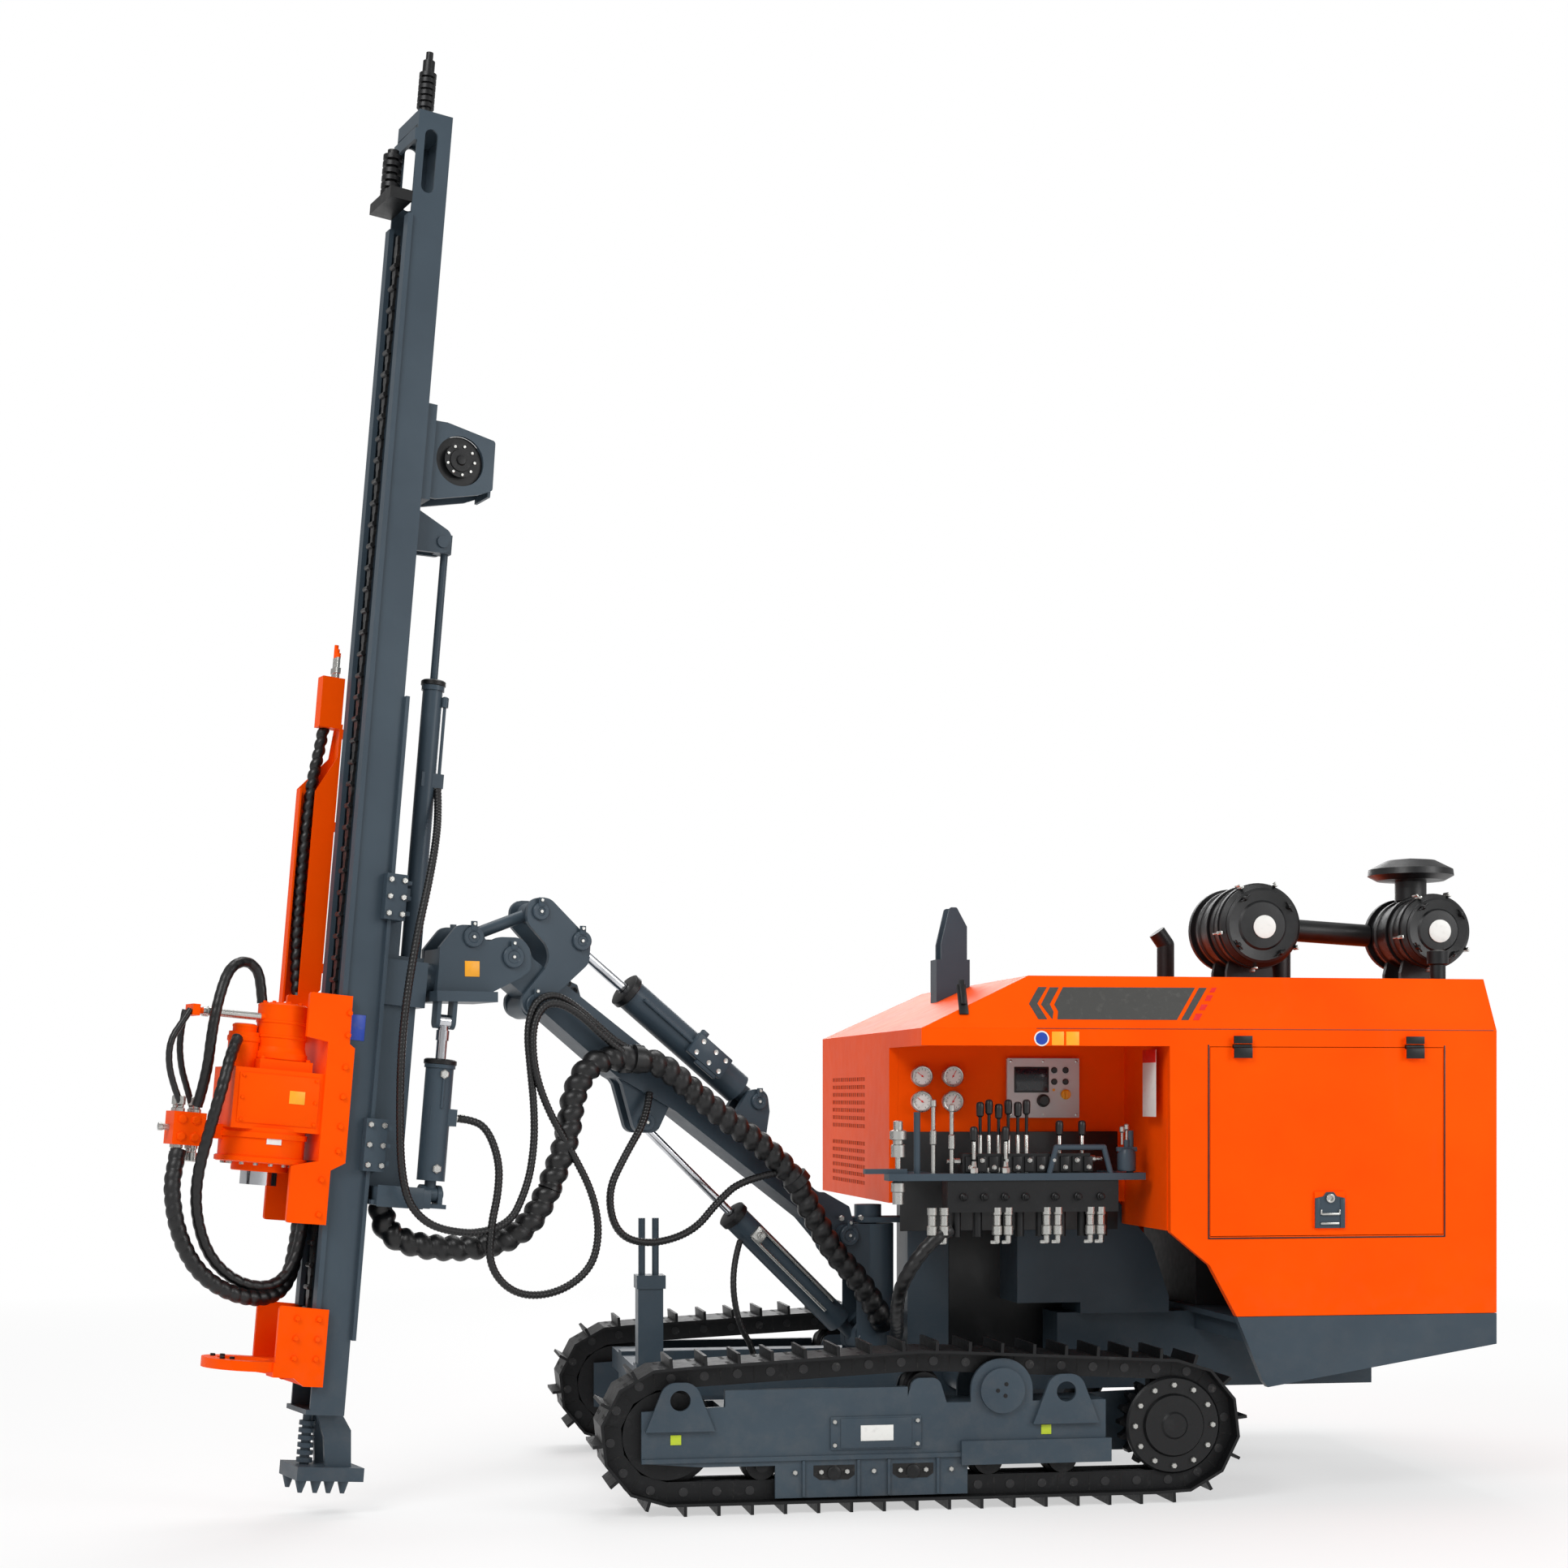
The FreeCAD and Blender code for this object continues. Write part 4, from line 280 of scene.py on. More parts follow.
def cut_sheet(outline, thickness):
    """A flat plate cut to (x, y) points, its back at height 0."""
    flat = bpy.data.curves.new("outline", "CURVE")
    flat.dimensions = "2D"
    flat.fill_mode = "BOTH"
    line = flat.splines.new("POLY")
    line.points.add(len(outline) - 1)
    for point, (x, y) in zip(line.points, outline):
        point.co = (x, y, 0.0, 1.0)
    line.use_cyclic_u = True
    flat.extrude = thickness / 2
    piece = bpy.data.objects.new("outline", flat)
    bpy.context.collection.objects.link(piece)
    alone(piece)
    bpy.ops.object.convert(target="MESH")
    piece = bpy.context.object
    piece.data.transform(Matrix.Translation((0, 0, thickness / 2)))
    bpy.ops.object.mode_set(mode="EDIT")
    bpy.ops.mesh.select_all(action="SELECT")
    bpy.ops.mesh.remove_doubles(threshold=0.00001)
    bpy.ops.mesh.normals_make_consistent(inside=False)
    bpy.ops.object.mode_set(mode="OBJECT")
    return piece


def joined(pieces):
    """Several parts made one."""
    bpy.ops.object.select_all(action="DESELECT")
    for piece in pieces:
        piece.select_set(True)
    bpy.context.view_layer.objects.active = pieces[0]
    if len(pieces) > 1:
        bpy.ops.object.join()
    return bpy.context.object


def repeated(piece, places):
    """Copies of one part, each with its own mesh, in place of the first."""
    twins = []
    for place in places:
        twin = piece.copy()
        twin.data = piece.data.copy()
        twin.data.transform(place)
        bpy.context.collection.objects.link(twin)
        twins.append(twin)
    bpy.data.objects.remove(piece)
    return joined(twins)


def fit(piece, name, finish, body, where=HERE, crease=32.0):
    """Puts a finished part in its place on a body, with its name and finish."""
    piece.data.transform(where)
    piece.name = name
    piece.data.name = name
    piece.data.materials.clear()
    piece.data.materials.append(finish)
    alone(piece)
    bpy.ops.object.shade_smooth_by_angle(angle=math.radians(crease))
    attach(piece, body)


def hex_head(radius, height):
    """A bolt's head with a chamfered top."""
    return turned([(radius, 0.0), (radius, height * 0.8), (radius * 0.82, height)], 6)


def ring_of(count, radius, place, start=0.0):
    """Places round a circle on a facing surface."""
    turn = 2 * math.pi / count
    return [place @ Matrix.Rotation(start + i * turn, 4, "Z") @ Matrix.Translation((radius, 0, 0))
            for i in range(count)]


# Hoses
def route_of(points):
    """The smooth line of a hose: its route's points pull on one NURBS spline."""
    line = bpy.data.curves.new("route", "CURVE")
    line.dimensions = "3D"
    line.resolution_u = 24
    spline = line.splines.new("NURBS")
    spline.points.add(len(points) - 1)
    for control, place in zip(spline.points, points):
        control.co = (*place, 1.0)
    spline.order_u = 3
    spline.use_endpoint_u = True
    return line


def followed(points, step):
    """Places an even step apart along a hose's line."""
    line = route_of(points)
    holder = bpy.data.objects.new("route", line)
    bpy.context.collection.objects.link(holder)
    bpy.context.view_layer.update()
    mesh = bpy.data.meshes.new_from_object(holder)
    way = [v.co.copy() for v in mesh.vertices]
    bpy.data.objects.remove(holder)
    reach = [0.0]
    for a, b in zip(way, way[1:]):
        reach.append(reach[-1] + (b - a).length)
    count = max(8, round(reach[-1] / step))
    places, i = [], 0
    for k in range(count + 1):
        at = reach[-1] * k / count
        while i < len(way) - 2 and reach[i + 1] < at:
            i += 1
        share = (at - reach[i]) / max(reach[i + 1] - reach[i], 1e-9)
        places.append(way[i].lerp(way[i + 1], min(share, 1.0)))
    return places, reach[-1]


def wrapped_hose(name, points, radius, pitch, ridge, body, ends=None, sides=14, per_turn=7):
    """A hose in a spiral guard, whose skin swells once a turn; with ends it stays free of any body, and the
    bodies and points in ends are not read.
    """
    places, length = followed(points, pitch / per_turn)
    steps = len(places)
    ways = [(places[min(i + 1, steps - 1)] - places[max(i - 1, 0)]).normalized() for i in range(steps)]
    side = ways[0].orthogonal().normalized()
    verts, faces = [], []
    for i, (place, way) in enumerate(zip(places, ways)):
        side = (side - way * side.dot(way)).normalized()
        other = way.cross(side)
        for k in range(sides):
            angle = 2 * math.pi * k / sides
            phase = i / per_turn - k / sides
            swell = abs(math.sin(math.pi * phase)) ** 0.7
            reach = radius - ridge + ridge * swell
            verts.append(place + (side * math.cos(angle) + other * math.sin(angle)) * reach)
    for i in range(steps - 1):
        for k in range(sides):
            a, b = i * sides + k, i * sides + (k + 1) % sides
            faces.append((a, b, b + sides, a + sides))
    faces.append(tuple(reversed(range(sides))))
    faces.append(tuple(range((steps - 1) * sides, steps * sides)))
    mesh = bpy.data.meshes.new(name)
    mesh.from_pydata([tuple(v) for v in verts], [], faces)
    piece = bpy.data.objects.new(name, mesh)
    bpy.context.collection.objects.link(piece)
    mesh.materials.append(RUBBER)
    alone(piece)
    bpy.ops.object.shade_smooth_by_angle(angle=math.radians(50))
    if ends:
        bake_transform(piece)
    else:
        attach(piece, body)


# Running gear
for side, way, offset in SIDES:
    drive = facing((1.36, offset * 1.064, 0.322), way)
    cover = turned([(0.205, 0.0), (0.205, 0.014), (0.197, 0.022), (0.134, 0.022), (0.126, 0.036),
                    (0.058, 0.036), (0.05, 0.044), (0.02, 0.044)], 48)
    fit(cover, side + "_drive_cover", BLACK, "chassis", drive)
    bolts = repeated(hex_head(0.013, 0.014), ring_of(12, 0.17, drive @ Matrix.Translation((0, 0, 0.022))))
    fit(bolts, side + "_drive_cover_bolts", ZINC, "chassis")
    cap = turned([(0.085, 0.0), (0.085, 0.018), (0.07, 0.03), (0.045, 0.03), (0.03, 0.036)], 32)
    fit(cap, side + "_idler_cap", BLACK, "chassis", facing((-0.787, offset * 1.056, 0.322), way))
    plates = joined([block((-0.117, -0.004, 0.255), (0.265, 0.004, 0.391), 0.003),
                     block((-0.075, -0.009, 0.262), (0.223, 0.009, 0.384), 0.002)])
    fit(plates, side + "_frame_cover", GREY, "chassis", Matrix.Translation((0, offset * 1.114, 0)))
    # painted shade: dark sheets fill the guard's roller windows, where shade falls inside
    window = ((-0.086, 0.03), (0.086, 0.03), (0.086, -0.012), (0.06, -0.03), (-0.06, -0.03), (-0.086, -0.012))
    bays = [facing((x, offset * 1.1098, 0.163), way) for x in (-0.101, 0.231)]
    if side == "far":
        bays = [bay @ Matrix.Rotation(math.pi, 4, "Y") @ Matrix.Translation((0, 0, -0.001)) for bay in bays]
    fit(repeated(cut_sheet(window, 0.0012), bays), side + "_roller_window_shade", HOLE_SHADE, "chassis")
    ends = [facing((x, offset * 1.111, 0.16), way) for x in (-0.101, 0.231)]
    fit(repeated(turned([(0.028, 0.0), (0.028, 0.006), (0.02, 0.01), (0.01, 0.01)], 24), ends),
        side + "_roller_ends", BLACK, "chassis")
    lugs = [facing((x, offset * 1.111, 0.166), way)
            for x in (-0.264, 0.065, 0.392, -0.155, -0.047, 0.177, 0.285)]
    fit(repeated(hex_head(0.011, 0.01), lugs), side + "_roller_bolts", ZINC, "chassis")
    ribs = [Matrix.Translation((x, offset * 1.114, 0.0)) for x in (-0.229, 0.0, 0.128, 0.335)]
    fit(repeated(block((-0.006, -0.006, 0.066), (0.006, 0.006, 0.214), 0.002), ribs), side + "_guard_ribs",
        GREY, "chassis")
    # painted shade: small dark discs stand for the shade inside the pivot holes
    dots = [facing((0.609 + dx, offset * 1.1295, 0.487 + dz), way)
            for dx, dz in ((-0.022, 0.0), (0.014, 0.026), (0.01, -0.022))]
    fit(repeated(turned([(0.009, 0.0), (0.009, 0.0015), (0.006, 0.002)], 18), dots), side + "_pivot_hole_shade",
        BLACK, "chassis")
    heads = [facing((x, offset * 1.118, z), way) for x in (-0.1, 0.248) for z in (0.275, 0.371)]
    fit(repeated(hex_head(0.01, 0.01), heads), side + "_frame_cover_bolts", ZINC, "chassis")
fit(block((0.008, -1.126, 0.291), (0.145, -1.122, 0.355), 0.001), "frame_blank_plate", WHITE, "chassis")
fit(joined([block((-0.778, -1.113, 0.29), (-0.734, -1.109, 0.33), 0.001),
            block((0.777, -1.113, 0.3), (0.82, -1.109, 0.34), 0.001)]),
    "frame_blank_patches", YELLOW, "chassis")

WHEELS = (
    # x, z and radius of idler, carrier roller and sprocket
    (-0.787, 0.322, 0.19), (0.287, 0.498, 0.07), (1.36, 0.322, 0.19),
)
PIN_HEIGHT = 0.045
SHOE_FACE = 0.092


def loop_spot(share, height):
    """Place and outward angle on the track's loop, at a share of its length and a height above the wheels."""
    outward = []
    for i in range(3):
        (x0, z0, r0), (x1, z1, r1) = WHEELS[i], WHEELS[(i + 1) % 3]
        span = math.hypot(x1 - x0, z1 - z0)
        outward.append(math.atan2(z1 - z0, x1 - x0) + math.acos((r0 - r1) / span))
    spans = []
    for i in range(3):
        (x0, z0, r0), (x1, z1, r1) = WHEELS[i], WHEELS[(i + 1) % 3]
        turn = (outward[i - 1] - outward[i]) % (2 * math.pi)
        spans.append((turn * (r0 + PIN_HEIGHT), i, turn))
        spans.append((math.sqrt((x1 - x0) ** 2 + (z1 - z0) ** 2 - (r0 - r1) ** 2), i, None))
    left = (share % 1.0) * sum(span[0] for span in spans)
    for length, i, turn in spans:
        if left > length:
            left -= length
            continue
        x, z, r = WHEELS[i]
        angle = outward[i]
        if turn is not None:
            angle = outward[i - 1] - left / (r + PIN_HEIGHT)
            return x + (r + height) * math.cos(angle), z + (r + height) * math.sin(angle), angle
        along = (math.sin(angle), -math.cos(angle))
        return (x + (r + height) * math.cos(angle) + along[0] * left,
                z + (r + height) * math.sin(angle) + along[1] * left, angle)


def on_loop(share, height, across):
    """A place on the track with z outwards from the loop and y across the machine."""
    x, z, angle = loop_spot(share, height)
    return Matrix.Translation((x, across, z)) @ Matrix.Rotation(QUARTER - angle, 4, "Y")


SHOES = 42
for side, way, offset in SIDES:
    holes, pins, gaps = [], [], []
    for i in range(SHOES):
        x0, z0, _ = loop_spot(i / SHOES, SHOE_FACE)
        x1, z1, _ = loop_spot((i + 1) / SHOES, SHOE_FACE)
        flat = Matrix.Rotation(math.atan2(z0 - z1, x1 - x0), 4, "Y")
        for across in (1.105, 1.055, 0.905, 0.855):
            holes.append(Matrix.Translation((x0 * 0.78 + x1 * 0.22, offset * across, z0 * 0.78 + z1 * 0.22))
                         @ flat)
        for across in (1.0585, 0.9015):
            pins.append(on_loop((i + 0.5) / SHOES, 0.042, offset * across) @ Matrix.Rotation(QUARTER, 4, "X"))
            gaps.append(on_loop(i / SHOES, PIN_HEIGHT, offset * across))
    # painted shade: dark ovals on the shoes stand for the shade inside their holes
    oval = turned([(0.013, -0.001), (0.013, 0.001)], 14)
    oval.data.transform(Matrix.Diagonal((0.75, 1.5, 1.0, 1.0)))
    fit(repeated(oval, holes), side + "_shoe_hole_shade", HOLE_SHADE, "chassis")
    fit(repeated(turned([(0.019, -0.003), (0.019, 0.003)], 14), pins), side + "_link_pins", CHAIN, "chassis")
    # painted shade: thin dark strips stand for the shade in the gaps between link plates
    fit(repeated(block((-0.003, -0.0012, -0.036), (0.003, 0.0012, 0.034), 0.0004, 1), gaps),
        side + "_link_gap_shade", HOLE_SHADE, "chassis")

# Housing
near_slope = Matrix.Translation((0, -1.1, 1.99)) @ Matrix.Rotation(math.atan2(0.225, 0.1), 4, "X")
DARK_STRIPES = (
    # outlines as (along the machine, up the slope)
    ((0.74, 0.114), (0.789, 0.192), (0.826, 0.192), (0.776, 0.115), (0.811, 0.042), (0.773, 0.042)),
    ((0.792, 0.111), (0.839, 0.191), (0.878, 0.191), (0.83, 0.112), (0.842, 0.077), (0.833, 0.042)),
    ((0.849, 0.111), (0.896, 0.192), (1.476, 0.194), (1.375, 0.042), (0.855, 0.042), (0.862, 0.079)),
    ((1.494, 0.194), (1.528, 0.194), (1.426, 0.042), (1.394, 0.042)),
)
RED_STRIPES = (
    ((1.551, 0.194), (1.573, 0.195), (1.558, 0.173), (1.536, 0.172)),
    ((1.525, 0.159), (1.551, 0.159), (1.535, 0.133), (1.51, 0.133)),
    ((1.494, 0.115), (1.522, 0.115), (1.504, 0.089), (1.479, 0.089)),
    ((1.463, 0.072), (1.492, 0.072), (1.473, 0.042), (1.446, 0.042)),
)
fit(joined([cut_sheet(o, 0.0012) for o in DARK_STRIPES]), "side_stripes_dark", DARK_FILM, "chassis",
    near_slope)
fit(joined([cut_sheet(o, 0.0012) for o in RED_STRIPES]), "side_stripes_red", RED, "chassis", near_slope)
label = facing((0.782, -1.1, 1.948), NEAR)
fit(turned([(0.032, 0.0), (0.032, 0.0012), (0.031, 0.0014)], 40), "round_blank_label", WHITE, "chassis",
    label)
fit(turned([(0.026, 0.0014), (0.026, 0.002), (0.025, 0.0021)], 40), "round_label_blue", BLUE, "chassis",
    label)
fit(joined([block((0.826, -1.1015, 1.92), (0.878, -1.0995, 1.977), 0.0006),
            block((0.888, -1.1015, 1.92), (0.944, -1.0995, 1.977), 0.0006)]),
    "square_blank_labels", YELLOW_ORANGE, "chassis")
fit(block((1.2965, -1.04, 1.62), (1.2985, -0.86, 1.905), 0.0008), "chart_blank_plate", WHITE, "chassis")
fit(block((1.2955, -1.04, 1.85), (1.2975, -0.86, 1.905), 0.0008), "chart_plate_head", RED, "chassis")

HINGE_XS = (1.654, 2.424)
for side, way, offset in SIDES:
    door = side + "_door"
    seal = [block((1.506, -0.0015, 1.104), (1.512, 0.0015, 1.924), 0.0005),
            block((2.563, -0.0015, 1.104), (2.569, 0.0015, 1.924), 0.0005),
            block((1.512, -0.0015, 1.104), (2.563, 0.0015, 1.11), 0.0005)]
    fit(joined(seal), side + "_door_seal", PLASTIC, "chassis", Matrix.Translation((0, offset * 1.1005, 0)))
    latch = facing((2.0445, offset * 1.108, 1.224), way)
    plate_edge = ((-0.067, -0.077), (0.067, -0.077), (0.067, 0.05), (0.03, 0.058), (0.016, 0.076),
                  (-0.016, 0.076),
                  (-0.03, 0.058), (-0.067, 0.05))
    fit(joined([cut_sheet(plate_edge, 0.003), block((-0.067, -0.077, 0.0), (-0.045, 0.05, 0.007), 0.003),
                block((0.045, -0.077, 0.0), (0.067, 0.05, 0.007), 0.003)]), side + "_latch_plate", GREY, door,
        latch)
    ring = turned([(0.017, 0.002), (0.019, 0.004), (0.019, 0.012), (0.015, 0.014), (0.011, 0.012),
                   (0.011, 0.004)], 28)
    ring.data.transform(Matrix.Translation((0.0, 0.05, 0.0)))
    fit(joined([ring, block((-0.04, -0.022, 0.002), (0.04, -0.012, 0.013), 0.003),
                block((-0.045, -0.02, 0.002), (-0.037, 0.002, 0.011), 0.003),
                block((0.037, -0.02, 0.002), (0.045, 0.002, 0.011), 0.003),
                block((-0.045, -0.062, 0.002), (0.04, -0.052, 0.012), 0.004)]),
        side + "_latch_bars", ZINC, door, latch)
    leaves = [block((x - 0.041, -0.003, 1.93), (x + 0.041, 0.003, 1.962), 0.001) for x in HINGE_XS]
    straps = [block((x - 0.041, -0.002, 1.868), (x + 0.041, 0.002, 1.912), 0.001) for x in HINGE_XS]
    fit(joined(leaves), side + "_hinge_leaves", BLACK, "chassis", Matrix.Translation((0, offset * 1.1215, 0)))
    fit(joined(straps), side + "_hinge_straps", BLACK, door, Matrix.Translation((0, offset * 1.1235, 0)))
    barrel = turned([(0.0099, -0.0405), (0.0099, 0.0405)], 20)
    fit(repeated(barrel, [facing((x, offset * 1.112, 1.918), BACK) for x in HINGE_XS]),
        side + "_hinge_barrels", BLACK, door)
    # painted shade: a darker orange strip along the fold where the side meets the slope
    fit(block((0.76, -0.0015, 1.988), (2.79, 0.0015, 1.992), 0.0005), side + "_crease_shade_line", SHADE, "chassis",
        Matrix.Translation((0, offset * 1.1, 0)))
hasp = near_slope @ Matrix.Translation((0.455, 0.13, 0))
fit(joined([block((-0.02, -0.07, 0.0), (0.02, 0.07, 0.01), 0.004),
            block((-0.012, -0.03, 0.008), (0.012, 0.085, 0.026), 0.006)]),
    "hood_hasp", BLACK, "chassis", hasp)

# Grille: dark sheets of painted shade behind the slots, and the narrow ties that part them
grille_shade_sheets = [block((0.272, 0.06, 1.29), (0.2745, 0.84, 1.51), 0.001),
           block((0.272, 0.06, 1.55), (0.2745, 0.84, 1.81), 0.001)]
grille_shade_sheets.append(block((2.7985, -0.73, 1.23), (2.801, 0.73, 1.745), 0.001))
fit(joined(grille_shade_sheets), "grille_painted_shade", HOLE_SHADE, "chassis")
ties = [Matrix.Translation((0.0, 0.065 + column * 0.195 + 0.03 * tie, low + row * 0.036))
        for low, rows in ((1.3, 6), (1.56, 7)) for row in range(rows) for column in range(4)
        for tie in range(1, 6)]
fit(repeated(block((0.27, -0.006, -0.001), (0.276, 0.006, 0.019), 0.0005, 1), ties), "grille_ties", ORANGE,
    "chassis")

# Air filters and roof fittings
for name, x, z, radius, first in (("front", 1.835, 2.447, 0.181, -0.86),
                                  ("rear", 2.642, 2.434, 0.159, -0.86)):
    place = facing((x, first, z), NEAR)
    bands = []
    for depth in (0.06, 0.2, 0.42):
        bands.append(turned([(radius + 0.004, -depth - 0.014), (radius + 0.006, -depth - 0.012),
                             (radius + 0.006, -depth + 0.012), (radius + 0.004, -depth + 0.014)], 56))
    fit(joined(bands), "filter_bands_" + name, BLACK, "chassis", place)
    rim = turned([(radius * 0.9, -0.012), (radius * 0.9, 0.004), (radius * 0.84, 0.01), (radius * 0.6, 0.004),
                  (radius * 0.55, 0.012), (radius * 0.3, 0.014)], 56)
    fit(rim, "filter_cap_" + name, PLASTIC, "chassis", place)
    nuts = joined([turned([(0.012, 0.0), (0.012, 0.012), (0.006, 0.026)], 12),
                   block((-0.003, -0.026, 0.008), (0.003, 0.026, 0.022), 0.003)])
    places = [place @ Matrix.Rotation(a, 4, "Z") @ Matrix.Translation((radius * 0.78, 0, 0.006))
              for a in (0.6, 2.2, 3.8, 5.3)]
    fit(repeated(nuts, places), "filter_wing_nuts_" + name, BLACK, "chassis")
disc = turned([(0.05, 0.012), (0.05, 0.016), (0.046, 0.018), (0.02, 0.017)], 40)
spot = Matrix.Translation((0.0, 0.0, 0.002))
fit(repeated(disc, [facing((1.84, -0.862, 2.44), NEAR) @ spot, facing((2.645, -0.862, 2.43), NEAR) @ spot]),
    "filter_white_discs", WHITE, "chassis")
clip = joined([block((-0.008, -0.006, -0.05), (0.008, 0.004, 0.0), 0.003),
               block((-0.004, 0.0, -0.075), (0.004, 0.016, -0.02), 0.003)])
clips = []
for x, z, radius in ((1.835, 2.447, 0.187), (2.642, 2.434, 0.165)):
    clips += [facing((x, -0.872, z), NEAR) @ Matrix.Rotation(a, 4, "Z")
              @ Matrix.Translation((0, radius, -0.012))
              for a in (-0.35, 0.5, 1.75, 3.0, 4.2)]
fit(repeated(clip, clips), "filter_clips", ZINC, "chassis")

# Operator's stand
for x in (0.408, 0.547):
    for z in (1.684, 1.795):
        name = "gauge_%d_%d" % (round(x * 1000), round(z * 1000))
        face = facing((x, -0.4995, z), NEAR)
        bezel = turned([(0.043, -0.006), (0.047, 0.0), (0.047, 0.012), (0.042, 0.018), (0.038, 0.017),
                        (0.037, 0.006), (0.03, 0.006)], 40)
        fit(bezel, name + "_bezel", ZINC, "chassis", face)
        dial = turned([(0.0375, 0.006), (0.0375, 0.0075), (0.036, 0.008)], 40)
        fit(dial, name + "_dial", WHITE, "chassis", face)
        marks = [face @ Matrix.Rotation(math.radians(30 * i), 4, "Z") @ Matrix.Translation((0, 0.03, 0.008))
                 for i in range(-5, 6)]
        fit(repeated(block((-0.0008, -0.004, 0), (0.0008, 0.004, 0.0006), 0.0002, 1), marks),
            name + "_marks", DARK_FILM, "chassis")
        turn = Matrix.Rotation(0.9 if x < 0.5 else -0.5, 4, "Z")
        needle = joined([block((-0.0014, -0.008, 0.009), (0.0014, 0.027, 0.0102), 0.0004, 1),
                         turned([(0.004, 0.008), (0.004, 0.011), (0.002, 0.012)], 16)])
        fit(needle, name + "_needle", RED, "chassis", face @ turn)
board = Matrix.Translation((0.797, -0.4935, 1.615)) @ Matrix.Rotation(QUARTER, 4, "X")
fit(block((-0.003, -0.003, -0.002), (0.326, 0.26, 0.002), 0.004), "panel_face", PANEL, "chassis", board)
fit(block((0.028, 0.108, 0.0), (0.186, 0.222, 0.005), 0.003), "panel_screen_frame", PLASTIC, "chassis", board)
fit(block((0.036, 0.116, 0.004), (0.178, 0.214, 0.0062), 0.001), "panel_screen", SCREEN, "chassis", board)
spots = [board @ Matrix.Translation((x, y, 0.0)) for x in (0.21, 0.262) for y in (0.156, 0.207)]
fit(repeated(turned([(0.014, 0.0), (0.014, 0.006), (0.011, 0.009), (0.006, 0.009)], 24), spots),
    "panel_buttons", PLASTIC, "chassis")
fit(turned([(0.029, 0.0), (0.029, 0.007), (0.026, 0.02), (0.02, 0.024), (0.008, 0.024)], 32),
    "panel_knob", PLASTIC, "chassis", board @ Matrix.Translation((0.16, 0.073, 0)))
fit(joined([turned([(0.022, 0.0), (0.022, 0.012), (0.017, 0.017)], 28),
            block((-0.006, -0.017, 0.012), (0.006, 0.017, 0.03), 0.004)]),
    "panel_key", YELLOW_ORANGE, "chassis", board @ Matrix.Translation((0.262, 0.1, 0)))
fit(turned([(0.006, 0.0), (0.006, 0.004), (0.004, 0.005)], 16), "panel_lamp", YELLOW_ORANGE, "chassis",
    board @ Matrix.Translation((0.208, 0.12, 0)))
screws = [board @ Matrix.Translation((x, y, 0.0)) for x in (0.012, 0.16, 0.311) for y in (0.01, 0.247)]
fit(repeated(turned([(0.006, 0.0), (0.006, 0.003), (0.003, 0.004)], 12), screws), "panel_screws", ZINC,
    "chassis")

KNOBS = (
    # x, y and z of a lever's top
    (0.579, -0.86, 1.68), (0.618, -0.86, 1.69), (0.66, -0.86, 1.672), (0.702, -0.86, 1.69),
    (0.744, -0.86, 1.68), (0.782, -0.86, 1.69), (0.544, -0.89, 1.576), (0.683, -0.89, 1.576),
    (0.93, -0.85, 1.6), (1.03, -0.85, 1.6),
)
grip = turned([(0.008, -0.062), (0.0155, -0.055), (0.0175, -0.02), (0.0165, -0.006), (0.011, 0.002),
               (0.004, 0.004)], 20)
fit(repeated(grip, [Matrix.Translation(p) for p in KNOBS]), "lever_grips", PLASTIC, "chassis")
sleeve = turned([(0.0085, 0.0), (0.0085, 0.1), (0.006, 0.104)], 14)
fit(repeated(sleeve, [Matrix.Translation((x, y, 1.44)) for x, y, _ in KNOBS]), "lever_stems", ZINC, "chassis")
nuts = turned([(0.016, 0.0), (0.018, 0.004), (0.018, 0.022), (0.012, 0.028), (0.01, 0.05)], 6)
fit(repeated(nuts, [Matrix.Translation((x, y, 1.381)) for x, y, _ in KNOBS]), "lever_feet", ZINC, "chassis")

coupling = joined([
    turned([(0.021, 0.0), (0.021, -0.03), (0.017, -0.034), (0.017, -0.075), (0.022, -0.079), (0.022, -0.115),
            (0.013, -0.12), (0.013, -0.15), (0.01, -0.152)], 18),
    block((-0.03, -0.008, -0.155), (0.008, 0.008, -0.139), 0.005),
])
COUPLINGS = (0.366, 0.419, 0.649, 0.698, 0.866, 0.916, 1.059, 1.106)
fit(repeated(coupling, [Matrix.Translation((x, -0.875, 1.235)) for x in COUPLINGS]),
    "valve_couplings", ZINC, "chassis")
# painted shade: a dark sheet fills the open niche under the panel, where shade falls
fit(block((0.31, -0.503, 1.118), (1.296, -0.497, 1.552), 0.002), "niche_painted_shade", PLASTIC, "chassis")
caps = turned([(0.017, 0.0), (0.017, 0.012), (0.012, 0.016), (0.012, 0.03), (0.007, 0.034)], 16)
fit(repeated(caps, [facing((x, -0.889, 1.28), NEAR) for x in (0.5, 0.59, 0.68, 0.77, 0.9, 1.0, 1.1)]),
    "valve_end_caps", BLACK, "chassis")
sections = [Matrix.Translation((0.53 + 0.052 * i, 0.0, 0.0)) for i in range(11)]
fit(repeated(block((-0.02, -0.882, 1.384), (0.02, -0.87, 1.452), 0.004), sections), "valve_sections", BLACK,
    "chassis")
unions = turned([(0.011, 0.0), (0.011, 0.008), (0.008, 0.01), (0.008, 0.02)], 6)
fit(repeated(unions, [facing((0.53 + 0.052 * i, -0.881, 1.405 + 0.03 * (i % 2)), NEAR) for i in range(11)]),
    "valve_unions", ZINC, "chassis")
side_unions = turned([(0.01, 0.0), (0.014, 0.004), (0.014, 0.03), (0.009, 0.034), (0.009, 0.06)], 12)
